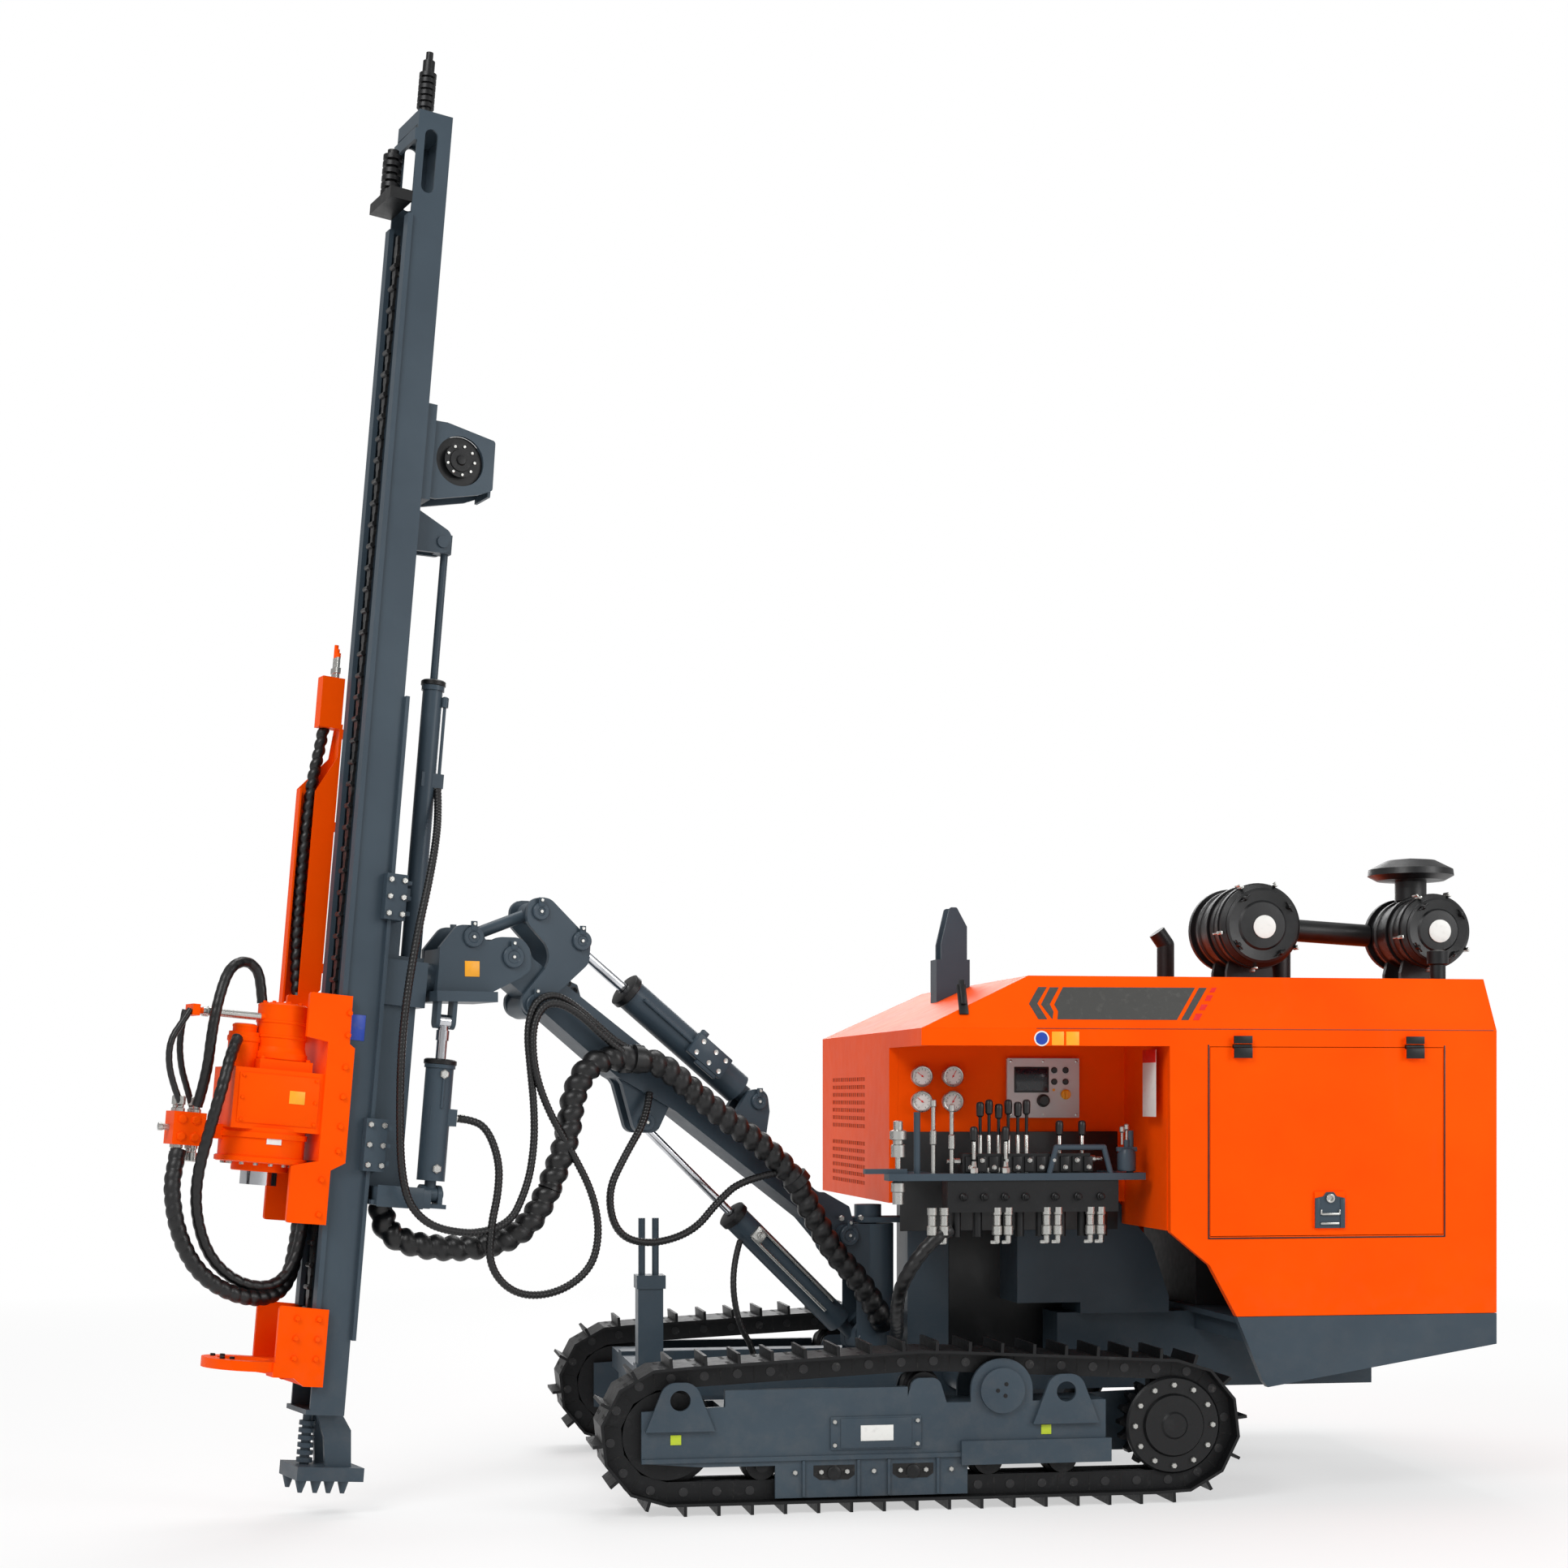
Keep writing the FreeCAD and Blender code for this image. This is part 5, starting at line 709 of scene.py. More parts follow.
fit(repeated(side_unions, [facing((0.5, -0.84, 1.43), FORWARD), facing((1.06, -0.84, 1.44), BACK)]),
    "valve_side_unions", ZINC, "chassis")
# painted shade: a dark sheet in the gap under the body, where shade falls between the tracks
fit(block((0.62, -0.12, 0.545), (1.3, -0.1, 1.235), 0.004), "underbody_screen", PLASTIC, "chassis")
bowl = [turned([(0.036, 1.386), (0.04, 1.392), (0.04, 1.46), (0.03, 1.48), (0.012, 1.486), (0.012, 1.52)],
               24),
        block((-0.045, -0.012, 1.47), (0.045, 0.012, 1.49), 0.004)]
fit(joined(bowl), "bench_oil_cup", GREY, "chassis", Matrix.Translation((1.225, -0.86, 0)))
cup_union = turned([(0.006, 0.0), (0.006, 0.05), (0.012, 0.056), (0.012, 0.075), (0.004, 0.08)], 12)
fit(repeated(cup_union, [Matrix.Translation((1.225, -0.86, 1.51)), Matrix.Translation((1.205, -0.86, 1.5))]),
    "bench_cup_unions", ZINC, "chassis")
# Lubricator at the bench's front end
oiler = [turned([(0.03, 1.45), (0.03, 1.5), (0.022, 1.505), (0.022, 1.52), (0.036, 1.525), (0.036, 1.56),
                 (0.02, 1.566), (0.02, 1.6), (0.012, 1.604)], 24),
         turned([(0.012, 1.4), (0.012, 1.455)], 16)]
fit(joined(oiler), "line_oiler", ZINC, "chassis", Matrix.Translation((0.225, -0.85, 0)))
fit(turned([(0.024, 1.25), (0.024, 1.3), (0.03, 1.304), (0.03, 1.34), (0.02, 1.349)], 24),
    "line_oiler_bowl", ZINC, "chassis", Matrix.Translation((0.225, -0.85, 0)))
lever = turned([(0.009, 1.38), (0.009, 1.5), (0.014, 1.505), (0.014, 1.56), (0.009, 1.566), (0.009, 1.66),
                 (0.013, 1.665), (0.013, 1.69), (0.006, 1.694)], 16)
fit(repeated(lever, [Matrix.Translation((0.375, -0.86, 0)), Matrix.Translation((0.455, -0.86, -0.02))]),
    "front_handles", ZINC, "chassis")

# Arm
PINS = (
    # name, reach, height, half width of what it shows on, radius, body
    ("boom_head_pin", 1.775, 2.291, 0.118, 0.035, "knuckle"),
    ("rocker_pin", 1.671, 2.092, 0.118, 0.035, "boom"),
    ("rocker_top_pin", 1.651, 2.486, 0.118, 0.025, "rocker"),
    ("link_pin", 1.953, 2.37, 0.116, 0.032, "knuckle"),
    ("pitch_rod_pin", 1.463, 2.367, 0.118, 0.03, "rocker"),
    ("pitch_foot_pin", 0.595, 1.684, 0.076, 0.025, "boom"),
    ("lift_rod_pin", 1.138, 1.594, 0.07, 0.025, "boom"),
    ("lift_foot_pin", 0.059, 0.605, 0.074, 0.025, "swing_base"),
    ("boom_foot_pin", 0.16, 1.082, 0.116, 0.035, "swing_base"),
)
for name, reach, height, half, radius, body in PINS:
    for side, way, offset in SIDES:
        seat = ARM @ facing((-reach, offset * half, height), way)
        cap = turned([(radius + 0.012, -0.004), (radius + 0.012, 0.004), (radius + 0.008, 0.008),
                      (radius - 0.006, 0.008), (radius - 0.01, 0.004), (0.008, 0.004)], 32)
        keeper = block((-0.014, radius - 0.004, 0.004), (0.014, radius + 0.034, 0.011), 0.002)
        fit(joined([cap, keeper]), name + "_cap_" + side, GREY, body, seat)
        screws = [seat @ Matrix.Translation((0, radius + 0.022, 0.01)), seat
                  @ Matrix.Translation((0, 0, 0.004))]
        fit(repeated(hex_head(0.008, 0.008), screws), name + "_screws_" + side, ZINC, body)


def along_arm(start, end, distance, side):
    """A place beside a cylinder of the arm, with its x axis along the cylinder and z facing near."""
    run = math.hypot(end[0] - start[0], end[1] - start[1])
    share = distance / run
    point = (-(start[0] + (end[0] - start[0]) * share), side, start[1] + (end[1] - start[1]) * share)
    lean = math.atan2(end[1] - start[1], -(end[0] - start[0]))
    return ARM @ Matrix.Translation(point) @ Matrix.Rotation(-lean, 4, "Y") @ Matrix.Rotation(QUARTER, 4, "X")


PITCH = ((0.595, 1.684), (1.463, 2.367))
LIFT = ((0.059, 0.605), (1.138, 1.594))
# Pitch cylinder: valve casting on its side, feed pipe to the head and a gland nut
casting = [block((-0.11, -0.055, -0.035), (0.09, 0.05, 0.0), 0.006),
           block((-0.09, 0.03, -0.03), (0.03, 0.066, -0.006), 0.006),
           block((0.05, -0.075, -0.03), (0.085, -0.04, -0.004), 0.004)]
place = along_arm(*PITCH, 0.33, -0.1)
fit(joined(casting), "pitch_valve_casting", GREY, "pitch_barrel", place)
plugs = [place @ Matrix.Translation((x, y, -0.001)) for x in (-0.08, -0.02, 0.055) for y in (-0.03, 0.028)]
fit(repeated(turned([(0.011, 0.0), (0.011, 0.004), (0.006, 0.003)], 16), plugs), "pitch_valve_plugs", ZINC,
    "pitch_barrel")
pipe = turned([(0.009, 0.0), (0.009, 0.3)], 14)
fit(pipe, "pitch_feed_pipe", GREY, "pitch_barrel",
    along_arm(*PITCH, 0.41, -0.078) @ Matrix.Rotation(QUARTER, 4, "Y"))
fit(turned([(0.076, -0.03), (0.08, -0.026), (0.08, 0.0), (0.07, 0.006), (0.03, 0.007), (0.026, 0.001)], 36),
    "pitch_gland", BLACK, "pitch_barrel", along_arm(*PITCH, 0.786, 0.0) @ Matrix.Rotation(QUARTER, 4, "Y"))
fit(turned([(0.064, -0.03), (0.069, -0.026), (0.069, 0.0), (0.058, 0.006), (0.026, 0.007), (0.022, 0.001)],
           36),
    "lift_gland", BLACK, "lift_barrel", along_arm(*LIFT, 0.861, 0.0) @ Matrix.Rotation(QUARTER, 4, "Y"))
pipes = [along_arm(*LIFT, 0.24, -0.062) @ Matrix.Translation((0, lift, 0)) @ Matrix.Rotation(QUARTER, 4, "Y")
         for lift in (-0.03, 0.028)]
fit(repeated(turned([(0.008, 0.0), (0.008, 0.5)], 12), pipes), "lift_side_pipes", ZINC, "lift_barrel")
port = along_arm(*LIFT, 0.72, -0.062)
fit(joined([block((-0.03, -0.03, -0.03), (0.03, 0.03, 0.012), 0.005),
            turned([(0.016, 0.01), (0.016, 0.022), (0.012, 0.026), (0.012, 0.04)], 6)]),
    "lift_port", ZINC, "lift_barrel", port)
tab = ARM @ facing((-1.455, -0.012, 2.16), NEAR)
fit(repeated(turned([(0.017, -0.002), (0.017, 0.003), (0.012, 0.003), (0.01, 0.0)], 24),
             [tab, tab @ Matrix.Translation((-0.03, 0.03, 0))]), "boom_tab_bushes", BLACK, "boom")
fit(repeated(hex_head(0.014, 0.014), [ARM @ facing((-0.2, -0.106, 1.16), NEAR), ARM
                                      @ facing((-0.1, -0.106, 1.16), NEAR)]),
    "boom_foot_bolts", ZINC, "swing_base")
fit(block((-1.99, -0.1125, 2.205), (-1.925, -0.109, 2.27), 0.001), "knuckle_blank_label", YELLOW_ORANGE,
    "knuckle", ARM)

# Mast
bolts = []
for low, high in ((0.218, 0.406), (-0.81, -0.596)):
    for up in (low + 0.025, (low + high) / 2, high - 0.025):
        for back in (-0.247, -0.19):
            bolts.append(MAST @ facing((back, -0.1784, up), NEAR))
            bolts.append(MAST @ facing((back, 0.1784, up), FAR))
fit(repeated(hex_head(0.0125, 0.012), bolts), "clamp_bolts", ZINC, "mast_support")
hub = MAST @ facing((-0.072, -0.096, 2.162), NEAR)
fit(turned([(0.07, 0.0), (0.07, 0.003), (0.048, 0.003), (0.046, 0.008), (0.022, 0.008), (0.018, 0.016),
            (0.006, 0.017)], 36),
    "feed_drive_flange", BLACK, "feed_beam", hub)
fit(repeated(hex_head(0.007, 0.007), ring_of(9, 0.06, hub @ Matrix.Translation((0, 0, 0.003)))),
    "feed_drive_bolts", ZINC, "feed_beam")
far_hub = MAST @ facing((-0.072, 0.084, 2.162), FAR)
fit(repeated(hex_head(0.007, 0.007), ring_of(9, 0.04, far_hub)), "feed_drive_far_bolts", ZINC, "feed_beam")
# Chain rollers between the link plates
rollers = [MAST @ Matrix.Translation((-0.397, 0, -1.7 + 0.09 * (i + 0.45))) @ Matrix.Rotation(QUARTER, 4, "X")
           for i in range(52)]
fit(repeated(turned([(0.009, -0.026), (0.011, -0.024), (0.011, 0.024), (0.009, 0.026)], 10), rollers),
    "chain_pins", CHAIN, "feed_beam")
# Swing cylinder: port elbow and gland; compensation cylinder: end fitting and pipe
elbow = MAST @ facing((0.12, -0.13, -0.565), BACK)
fit(turned([(0.02, 0.0), (0.02, 0.014), (0.014, 0.018), (0.014, 0.03), (0.018, 0.032), (0.018, 0.05),
            (0.014, 0.052)], 18),
    "swing_port_fitting", ZINC, "mast_swing_barrel", elbow)
fit(repeated(turned([(0.02, 0.0), (0.02, 0.01), (0.015, 0.014)], 6),
             [MAST @ facing((0.045, -0.188, m), NEAR) for m in (-0.39, -0.78)]),
    "swing_barrel_plugs", ZINC, "mast_swing_barrel")
fit(turned([(0.006, 0.0), (0.006, 0.14)], 12), "swing_side_pipe", GREY, "mast_swing_barrel",
    MAST @ facing((0.045, -0.19, -0.53), UP))
fit(turned([(0.066, -0.02), (0.068, -0.018), (0.068, -0.002), (0.06, 0.003), (0.03, 0.004), (0.025, 0.001)],
           36),
    "swing_gland", BLACK, "mast_swing_barrel", MAST @ facing((0.045, -0.13, -0.33), UP))
fit(turned([(0.05, -0.02), (0.052, -0.018), (0.052, -0.002), (0.046, 0.003), (0.022, 0.004), (0.018, 0.001)],
           36),
    "compensation_gland", BLACK, "mast_support", MAST @ facing((-0.075, 0, 1.247), UP))
fit(joined([turned([(0.007, 0.0), (0.007, 0.3)], 12),
            turned([(0.015, 0.28), (0.015, 0.32), (0.008, 0.325)], 12)]),
    "compensation_pipe", GREY, "mast_support", MAST @ facing((-0.028, -0.03, 0.86), UP))
fit(turned([(0.018, 0.0), (0.018, 0.016), (0.013, 0.02), (0.013, 0.04)], 18), "compensation_port", ZINC,
    "mast_support", MAST @ facing((-0.03, -0.02, 0.8), DOWN))

# Carriage bolts
sides = []
for m in (-0.18, -0.27, -0.4, -0.52, -0.64, -0.74, -0.86, -1.0):
    for offset, way in ((-1, NEAR), (1, FAR)):
        sides.append(MAST @ facing((-0.37 if m > -0.78 else -0.43, offset * 0.165, m), way))
fit(repeated(hex_head(0.012, 0.011), sides), "carriage_bolts", ORANGE, "carriage")
# Rotary head: covers, bands and bolts on the gear case and motors
axis = MAST @ Matrix.Translation((-0.64, 0, 0))
rim = turned([(0.174, -0.812), (0.184, -0.808), (0.184, -0.79), (0.176, -0.786)], 56)
fit(rim, "head_lower_flange", ORANGE, "carriage", axis)
fit(turned([(0.11, -0.846), (0.114, -0.842), (0.114, -0.83), (0.112, -0.812)], 48), "head_spigot", ORANGE,
    "carriage", axis)
fit(repeated(hex_head(0.01, 0.01), ring_of(16, 0.15, axis @ Matrix.Translation((0, 0, -0.812))
                                         @ Matrix.Rotation(math.pi, 4, "X"))), "head_flange_bolts", ZINC,
    "carriage")
motor = MAST @ Matrix.Translation((-0.597, 0, 0))
bands = [turned([(0.101, m - 0.006), (0.104, m - 0.003), (0.104, m + 0.003), (0.101, m + 0.006)], 48)
         for m in (-0.3, -0.24)]
bands.append(turned([(0.108, -0.392), (0.112, -0.388), (0.112, -0.366), (0.106, -0.36), (0.101, -0.34)], 48))
bands.append(turned([(0.101, -0.178), (0.101, -0.17), (0.092, -0.164), (0.06, -0.164), (0.055, -0.158),
                     (0.02, -0.158)], 48))
fit(joined(bands), "feed_motor_bands", ORANGE, "carriage", motor)
fit(repeated(hex_head(0.009, 0.009), ring_of(8, 0.078, motor @ Matrix.Translation((0, 0, -0.164)))),
    "motor_top_bolts", ORANGE, "carriage")
fit(repeated(hex_head(0.009, 0.01), [MAST @ Matrix.Translation((n, y, -0.393))
                                     for n in (-0.69, -0.503) for y in (-0.092, 0.092)]),
    "motor_base_bolts", ORANGE, "carriage")
small = MAST @ Matrix.Translation((-0.748, 0, 0))
fit(joined([turned([(0.064, -0.33), (0.067, -0.326), (0.067, -0.31), (0.064, -0.306)], 36),
            turned([(0.05, -0.27), (0.05, -0.262), (0.04, -0.256), (0.012, -0.256)], 36)]),
    "small_motor_bands", ORANGE, "carriage", small)
# Gear case: covers on its near and far sides with bolts
for side, way, offset in SIDES:
    case = MAST @ facing((-0.63, offset * 0.15, -0.555), way)
    fit(block((-0.165, -0.1, -0.002), (0.165, 0.1, 0.006), 0.005), "gear_case_cover_" + side, ORANGE,
        "carriage", case)
    spots = [case @ Matrix.Translation((x, y, 0.006)) for x in (-0.15, 0.15) for y in (-0.088, 0.0, 0.088)]
    fit(repeated(hex_head(0.007, 0.007), spots), "gear_case_screws_" + side, ORANGE, "carriage")
fit(block((-0.588, -0.1585, -0.566), (-0.524, -0.1555, -0.514), 0.0008), "head_blank_label", YELLOW_ORANGE,
    "carriage", MAST)
fit(block((-0.67, -0.1745, -0.735), (-0.61, -0.169, -0.712), 0.0008), "drum_blank_label", WHITE, "carriage",
    MAST)
fit(block((-0.362, -0.1325, -0.285), (-0.29, -0.1295, -0.18), 0.004), "beam_blank_plate", BLUE, "feed_beam",
    MAST)
# Silver pipes over the head's top and the fittings of its valve block
for y in (-0.04, 0.04):
    pipe = turned([(0.0135, 0.0), (0.0135, 0.19), (0.019, 0.192), (0.019, 0.216), (0.014, 0.218),
                   (0.014, 0.235)], 16)
    fit(pipe, "head_pipe_near" if y < 0 else "head_pipe_far", ZINC, "carriage", MAST
        @ facing((-0.7, y, -0.223), (-1, 0, 0)))
fit(turned([(0.013, 0.0), (0.013, 0.03), (0.016, 0.032), (0.016, 0.048), (0.008, 0.05)], 16),
    "valve_block_end",
    ZINC, "carriage", MAST @ facing((-1.015, 0, -0.697), FORWARD))
spots = [MAST @ facing((n, y, -0.631), UP) for n in (-0.99, -0.925) for y in (-0.04, 0.04)]
spots += [MAST @ facing((n, y, -0.763), DOWN) for n in (-0.985, -0.925) for y in (-0.035, 0.035)]
union = turned([(0.017, -0.002), (0.017, 0.012), (0.012, 0.016), (0.012, 0.026), (0.017, 0.028),
                (0.017, 0.06), (0.012, 0.064)], 14)
fit(repeated(union, spots), "valve_block_unions", ZINC, "carriage")
fit(repeated(turned([(0.02, -0.002), (0.02, 0.005), (0.013, 0.009), (0.007, 0.009)], 6),
             [MAST @ facing((n, -0.066, m), NEAR) for n in (-0.985, -0.93) for m in (-0.66, -0.73)]),
    "valve_block_plugs", ORANGE, "carriage")
# Centraliser: bolts
fit(repeated(hex_head(0.012, 0.012), [MAST @ facing((n, offset * 0.1604, m), way) for n in (-0.48, -0.39)
                                      for m in (-1.42, -1.5, -1.58) for offset,
                                      way in ((-1, NEAR), (1, FAR))]),
    "centraliser_bolts", ORANGE, "feed_beam")
fit(repeated(hex_head(0.011, 0.01), [MAST @ facing((n, y, -1.6), UP) for n in (-0.745, -0.705)
                                     for y in (-0.07, 0.07)]), "centraliser_ring_bolts", BLACK, "feed_beam")
# Hose trough: fittings at its head
fit(repeated(turned([(0.012, 0.0), (0.012, 0.02), (0.016, 0.022), (0.016, 0.045), (0.01, 0.048),
                     (0.01, 0.09)], 14),
             [MAST @ Matrix.Translation((-0.41, y, 1.243)) for y in (0.262, 0.282, 0.302)]),
    "trough_fittings", ZINC, "feed_beam")

# Hoses of the arm. Main bundle: swing base to boom, boom to knuckle, knuckle to the mast support
BOOM_CLAMP = (-0.847, -0.531, 1.866)
LOOP_LOW = (-1.237, -0.679, 1.318)
main_low = [(0.309, -0.122, 0.7), (0.302, -0.18, 0.69), (0.26, -0.235, 0.76), (0.17, -0.262, 0.9),
            (0.05, -0.295, 1.02), (-0.05, -0.318, 1.2), (-0.145, -0.345, 1.37), (-0.3, -0.39, 1.51),
            (-0.44, -0.425, 1.6), (-0.62, -0.47, 1.75), (-0.757, -0.505, 1.86), BOOM_CLAMP]
wrapped_hose("main_bundle_low", main_low, 0.056, 0.068, 0.017, None,
             ends=("swing_base", "boom", (0.25, -0.22, 0.75), (-0.3, -0.38, 1.5)), sides=18)
main_mid = [BOOM_CLAMP, (-0.94, -0.557, 1.875), (-1.06, -0.6, 1.845), (-1.13, -0.632, 1.72),
            (-1.15, -0.652, 1.56), (-1.19, -0.666, 1.43), LOOP_LOW]
wrapped_hose("main_bundle_middle", main_mid, 0.056, 0.068, 0.017, None,
             ends=("boom", "knuckle", (-0.94, -0.557, 1.87), (-1.2, -0.666, 1.42)), sides=18)
main_end = [LOOP_LOW, (-1.29, -0.693, 1.2), (-1.4, -0.712, 1.11), (-1.56, -0.735, 1.075),
            (-1.74, -0.75, 1.08), (-1.88, -0.748, 1.12), (-1.93, -0.74, 1.19), (-1.932, -0.736, 1.262)]
wrapped_hose("main_bundle_end", main_end, 0.056, 0.068, 0.017, None,
             ends=("knuckle", "mast_support", (-1.29, -0.693, 1.2), (-1.8, -0.77, 1.2)), sides=18)
for name, at, way in (("boom_clamp", BOOM_CLAMP, (-0.95, -0.26, 0.1)),
                      ("base_clamp", (-0.12, -0.339, 1.335), (-0.6, -0.13, 0.7))):
    strap = turned([(0.054, -0.022), (0.062, -0.02), (0.062, 0.02), (0.054, 0.022)], 36)
    fit(strap, name, PLASTIC, "boom", facing(at, way))
fit(block((-0.03, -0.06, -0.06), (0.03, 0.06, 0.06), 0.008), "boom_clamp_block", BLACK, "boom",
    ARM @ Matrix.Translation((-1.25, -0.105, 1.866)))
MEET = (-1.571, -0.85, 1.146)
mast_hose = [(-1.699, -0.671, 2.985), (-1.697, -0.692, 2.92), (-1.705, -0.79, 2.79),
             (-1.737, -0.893, 2.606), (-1.79, -0.935, 2.37), (-1.835, -0.955, 2.105),
             (-1.857, -0.962, 1.874), (-1.862, -0.962, 1.611), (-1.856, -0.957, 1.4), (-1.82, -0.945, 1.25),
             (-1.7, -0.905, 1.155), MEET]
wrapped_hose("mast_hose_down", mast_hose, 0.017, 0.016, 0.003, None,
             ends=("knuckle", "mast_support", (-1.62, -0.87, 1.2), (-1.75, -0.9, 1.6)), sides=10, per_turn=4)
mast_return = [MEET, (-1.42, -0.79, 1.15), (-1.33, -0.75, 1.33), (-1.3, -0.72, 1.5), (-1.3, -0.71, 1.66),
               (-1.315, -0.705, 1.82), (-1.33, -0.7, 1.98), (-1.3, -0.69, 2.1), (-1.22, -0.66, 2.14),
               (-1.131, -0.61, 2.1), (-1.023, -0.575, 2.01), (-0.93, -0.545, 1.93), (-0.86, -0.52, 1.9)]
wrapped_hose("mast_hose_return", mast_return, 0.017, 0.016, 0.003, None,
             ends=("knuckle", "boom", (-1.33, -0.75, 1.33), (-1.31, -0.7, 1.9)), sides=10, per_turn=4)
swing_hose = [(-1.636, -0.756, 1.616), (-1.578, -0.745, 1.613), (-1.5, -0.77, 1.58), (-1.45, -0.795, 1.441),
              (-1.455, -0.805, 1.307), (-1.486, -0.823, 1.174), (-1.496, -0.825, 1.0),
              (-1.384, -0.79, 0.88), (-1.208, -0.735, 0.88), (-1.06, -0.691, 0.977), (-1.02, -0.668, 1.129),
              (-1.05, -0.668, 1.3), (-1.139, -0.689, 1.471), (-1.24, -0.715, 1.642), (-1.30, -0.72, 1.812),
              (-1.31, -0.715, 1.99), (-1.264, -0.7, 2.09), (-1.19, -0.675, 2.1), (-1.1, -0.645, 2.05),
              (-1.0, -0.608, 1.96), (-0.9, -0.57, 1.885)]
wrapped_hose("swing_cylinder_hose", swing_hose, 0.017, 0.016, 0.003, None,
             ends=("knuckle", "boom", (-1.05, -0.668, 1.3), (-1.3, -0.7, 1.9)), sides=10, per_turn=4)
pitch_hose = [(-0.784, -0.442, 1.72), (-0.8, -0.51, 1.62), (-0.91, -0.6, 1.45), (-0.985, -0.62, 1.297),
              (-0.945, -0.605, 1.12), (-0.798, -0.557, 1.07), (-0.6, -0.487, 1.12), (-0.483, -0.439, 1.252),
              (-0.369, -0.397, 1.345), (-0.19, -0.352, 1.375)]
wrapped_hose("pitch_cylinder_hose", pitch_hose, 0.017, 0.016, 0.003, "boom", sides=10, per_turn=4)
lift_hose = [(-0.355, -0.235, 1.067), (-0.385, -0.27, 0.99), (-0.4, -0.31, 0.85), (-0.37, -0.315, 0.7),
             (-0.31, -0.3, 0.6), (-0.3, -0.3, 0.545)]
wrapped_hose("lift_cylinder_hose", lift_hose, 0.0145, 0.02, 0.0015, None,
             ends=("lift_barrel", "swing_base", (-0.38, -0.27, 1.0), (-0.36, -0.31, 0.7)), sides=10,
             per_turn=4)
# Painted shade: dark discs fill the feed drive's opening, where shade falls between its plates
fit(repeated(turned([(0.103, 0.0), (0.103, 0.003), (0.06, 0.0045)], 40),
             [MAST @ facing((-0.072, -0.0705, 2.162), NEAR), MAST @ facing((-0.072, 0.0705, 2.162), FAR)]),
    "drive_opening_painted_shade", BLACK, "feed_beam")
# Box round the foot bracket of the mast swing cylinder
fit(joined([block((-0.2, -0.19, -0.946), (0.035, -0.07, -0.868), 0.006),
            block((-0.2, -0.192, -0.95), (0.0, -0.188, -0.862), 0.002)]),
    "swing_foot_box", GREY, "mast_support", MAST)


def mast_route(points):
    """Points of the mast's frame as places in the scene."""
    return [tuple(MAST @ Vector(p)) for p in points]


# Head hoses: from the carriage's foot round to the valve block, and over its top
head_loop = mast_route([(-0.425, 0.09, -1.035), (-0.43, 0.09, -1.16), (-0.47, 0.05, -1.30),
                        (-0.574, -0.02, -1.36), (-0.729, -0.06, -1.345), (-0.875, -0.07, -1.265),
                        (-0.97, -0.08, -1.115), (-1.01, -0.075, -0.94), (-0.995, -0.05, -0.85),
                        (-0.985, -0.035, -0.785)])
wrapped_hose("head_bundle_one", head_loop, 0.034, 0.045, 0.005, "carriage", sides=16)
second = mast_route([(-0.43, 0.03, -1.035), (-0.435, 0.03, -1.14), (-0.48, 0.02, -1.26),
                     (-0.568, -0.01, -1.315), (-0.707, -0.03, -1.295), (-0.83, -0.05, -1.2),
                     (-0.9, -0.07, -1.045), (-0.92, -0.1, -0.885), (-0.895, -0.16, -0.672),
                     (-0.862, -0.175, -0.493), (-0.83, -0.13, -0.38), (-0.795, -0.075, -0.32)])
wrapped_hose("head_bundle_two", second, 0.024, 0.045, 0.003, "carriage", sides=14)
over = mast_route([(-0.68, 0.02, -0.165), (-0.69, 0.02, -0.10), (-0.71, 0.02, -0.03), (-0.77, 0, 0.0),
                   (-0.845, -0.05, -0.04), (-0.885, -0.085, -0.152), (-0.905, -0.09, -0.3),
                   (-0.905, -0.07, -0.48), (-0.925, -0.04, -0.605)])
wrapped_hose("head_top_loop", over, 0.022, 0.04, 0.0015, "carriage", sides=12)
first_pipe = mast_route([(-0.985, -0.04, -0.223), (-1.01, -0.045, -0.27), (-1.057, -0.05, -0.349),
                         (-1.058, -0.05, -0.446), (-1.02, -0.045, -0.55), (-0.99, -0.04, -0.605)])
wrapped_hose("head_pipe_hose_one", first_pipe, 0.0135, 0.03, 0.001, "carriage", sides=10, per_turn=5)
second_pipe = mast_route([(-0.985, 0.04, -0.223), (-1.0, 0.04, -0.33), (-0.985, 0.035, -0.45),
                          (-0.95, 0.035, -0.54), (-0.925, 0.04, -0.605)])
wrapped_hose("head_pipe_hose_two", second_pipe, 0.0135, 0.03, 0.001, "carriage", sides=10, per_turn=5)
trough_hose = mast_route([(-0.44, 0.29, 1.03), (-0.45, 0.29, 0.93), (-0.475, 0.285, 0.78),
                          (-0.485, 0.285, 0.4), (-0.48, 0.285, 0.05), (-0.455, 0.285, -0.12)])
wrapped_hose("trough_bundle", trough_hose, 0.026, 0.045, 0.009, "feed_beam", sides=14)
stand_hose = [(0.45, -0.86, 1.145), (0.4, -0.87, 1.12), (0.33, -0.875, 1.06), (0.27, -0.86, 0.97),
              (0.235, -0.82, 0.88), (0.25, -0.7, 0.76), (0.3, -0.5, 0.68), (0.31, -0.36, 0.62),
              (0.31, -0.33, 0.545)]
wrapped_hose("stand_hose", stand_hose, 0.03, 0.05, 0.003, "chassis", sides=14)


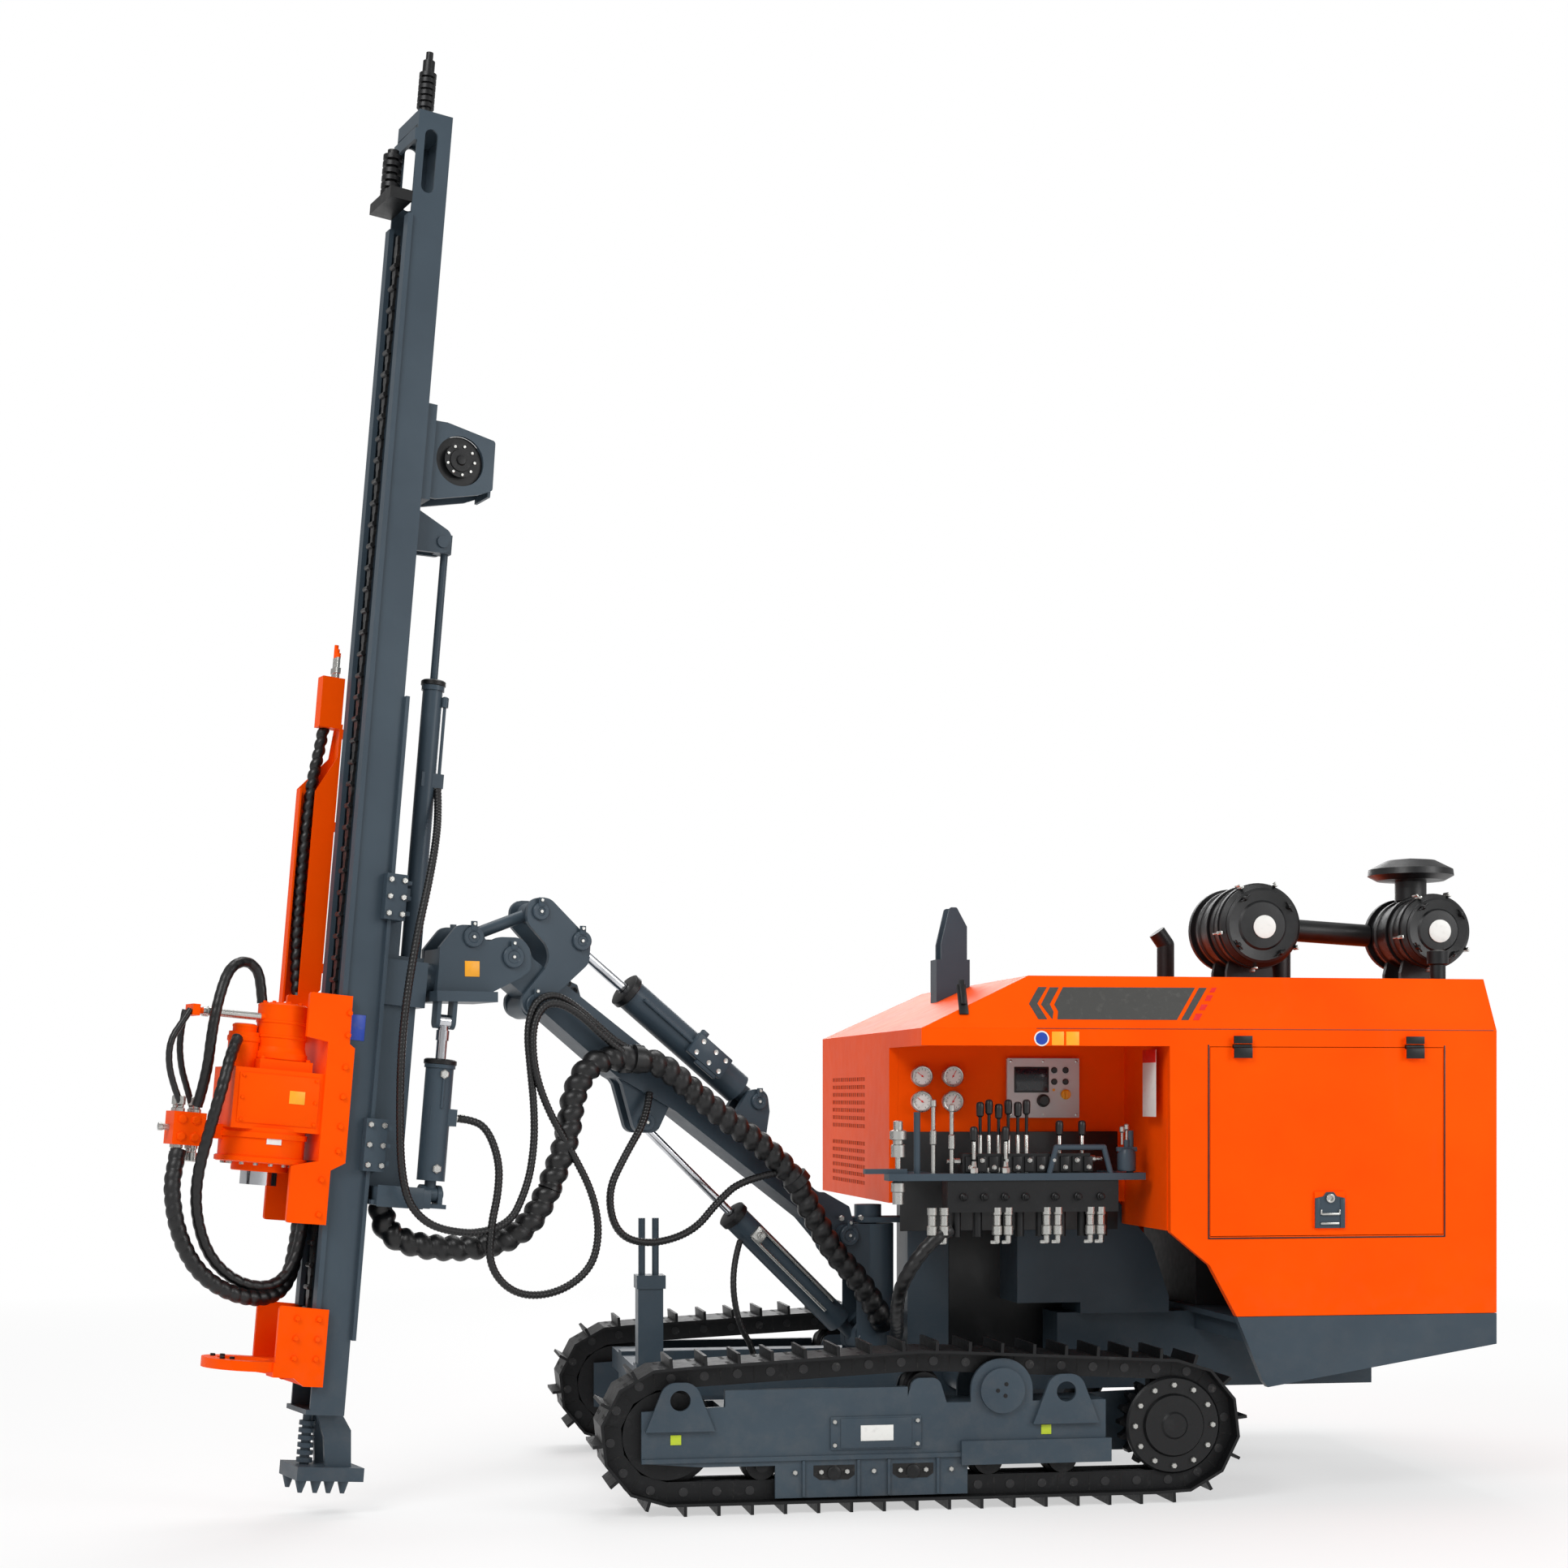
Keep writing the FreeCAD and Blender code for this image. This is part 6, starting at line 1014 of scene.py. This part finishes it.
# Floor, light and camera
def show_white(name, shade, held):
    """A pale surface: partly its own light where the camera, a gloss or glass sees it."""
    stage = Finish(name, 0.7)
    stage.shader.inputs["Base Color"].default_value = shade
    grain = stage.noise(3.0, 3.0)
    stage.join("Roughness", grain * 0.1 + 0.65)
    path = stage.tree.nodes.new("ShaderNodeLightPath")
    seen = Tone(stage, path.outputs["Is Camera Ray"])
    seen = seen + Tone(stage, path.outputs["Is Glossy Ray"]) + Tone(stage,
                                                                    path.outputs["Is Transmission Ray"])
    glow = stage.tree.nodes.new("ShaderNodeEmission")
    glow.inputs["Strength"].default_value = 1.0
    mixed = stage.tree.nodes.new("ShaderNodeMixShader")
    reach = stage.node("ShaderNodeVectorMath", {0: stage.place}, output=1, operation="LENGTH")
    factor = seen * (stage.ramp(reach, 3.0, 12.0) * (1.0 - held) + held)
    stage.tree.links.new(factor.socket, mixed.inputs[0])
    stage.tree.links.new(stage.shader.outputs[0], mixed.inputs[1])
    stage.tree.links.new(glow.outputs[0], mixed.inputs[2])
    out = stage.tree.nodes["Material Output"]
    stage.tree.links.new(mixed.outputs[0], out.inputs["Surface"])
    return stage.material


bpy.ops.object.select_all(action="DESELECT")
bpy.ops.mesh.primitive_plane_add(size=90)
floor = bpy.context.object
floor.name = "studio_floor"
floor.data.materials.append(show_white("studio_floor_white", (0.86, 0.86, 0.86, 1.0), 0.55))

world = bpy.data.worlds.new("studio")
bpy.context.scene.world = world
world.use_nodes = True
sky = world.node_tree
backdrop = sky.nodes["Background"]
backdrop.inputs["Color"].default_value = (1.0, 1.0, 1.0, 1.0)
path = sky.nodes.new("ShaderNodeLightPath")
seen = sky.nodes.new("ShaderNodeMath")
seen.operation = "MAXIMUM"
sky.links.new(path.outputs["Is Camera Ray"], seen.inputs[0])
sky.links.new(path.outputs["Is Transmission Ray"], seen.inputs[1])
level = sky.nodes.new("ShaderNodeMapRange")
level.inputs["To Min"].default_value = 0.46
level.inputs["To Max"].default_value = 1.0
sky.links.new(seen.outputs[0], level.inputs["Value"])
sky.links.new(level.outputs[0], backdrop.inputs["Strength"])


def lamp(name, place, aim, size, power):
    """A square lamp that points from its place at its aim."""
    bpy.ops.object.light_add(type="AREA", location=place)
    made = bpy.context.object
    made.name = name
    made.data.shape = "SQUARE"
    made.data.size = size
    made.data.energy = power
    made.rotation_euler = (Vector(aim) - Vector(place)).to_track_quat("-Z", "Y").to_euler()


lamp("key_lamp", (-8.0, -10.0, 11.0), (0.0, 0.0, 2.0), 6.0, 1000)
lamp("fill_lamp", (9.0, -9.0, 6.0), (1.0, 0.0, 1.5), 6.0, 500)
lamp("top_lamp", (0.5, 3.0, 12.0), (0.5, 0.0, 1.5), 7.0, 620)
lamp("back_lamp", (3.0, 11.0, 6.0), (0.0, 0.0, 2.0), 6.0, 380)

CAMERA_PLACE = (-2.116, -11.515, 1.71)
CAMERA_LENS = 59.25
CAMERA_RISE = 0.1987
CAMERA_HEADING = math.atan2(0.171, 0.985)
bpy.ops.object.camera_add(location=CAMERA_PLACE)
camera = bpy.context.object
camera.name = "photo_camera"
camera.data.sensor_width = 36.0
camera.data.lens = CAMERA_LENS
camera.data.shift_y = CAMERA_RISE
camera.rotation_euler = (QUARTER, 0.0, -CAMERA_HEADING)
camera.data.clip_end = 200.0
bpy.context.scene.camera = camera

bpy.context.scene.view_settings.view_transform = "Standard"
bpy.ops.object.select_all(action="DESELECT")
bpy.context.view_layer.update()
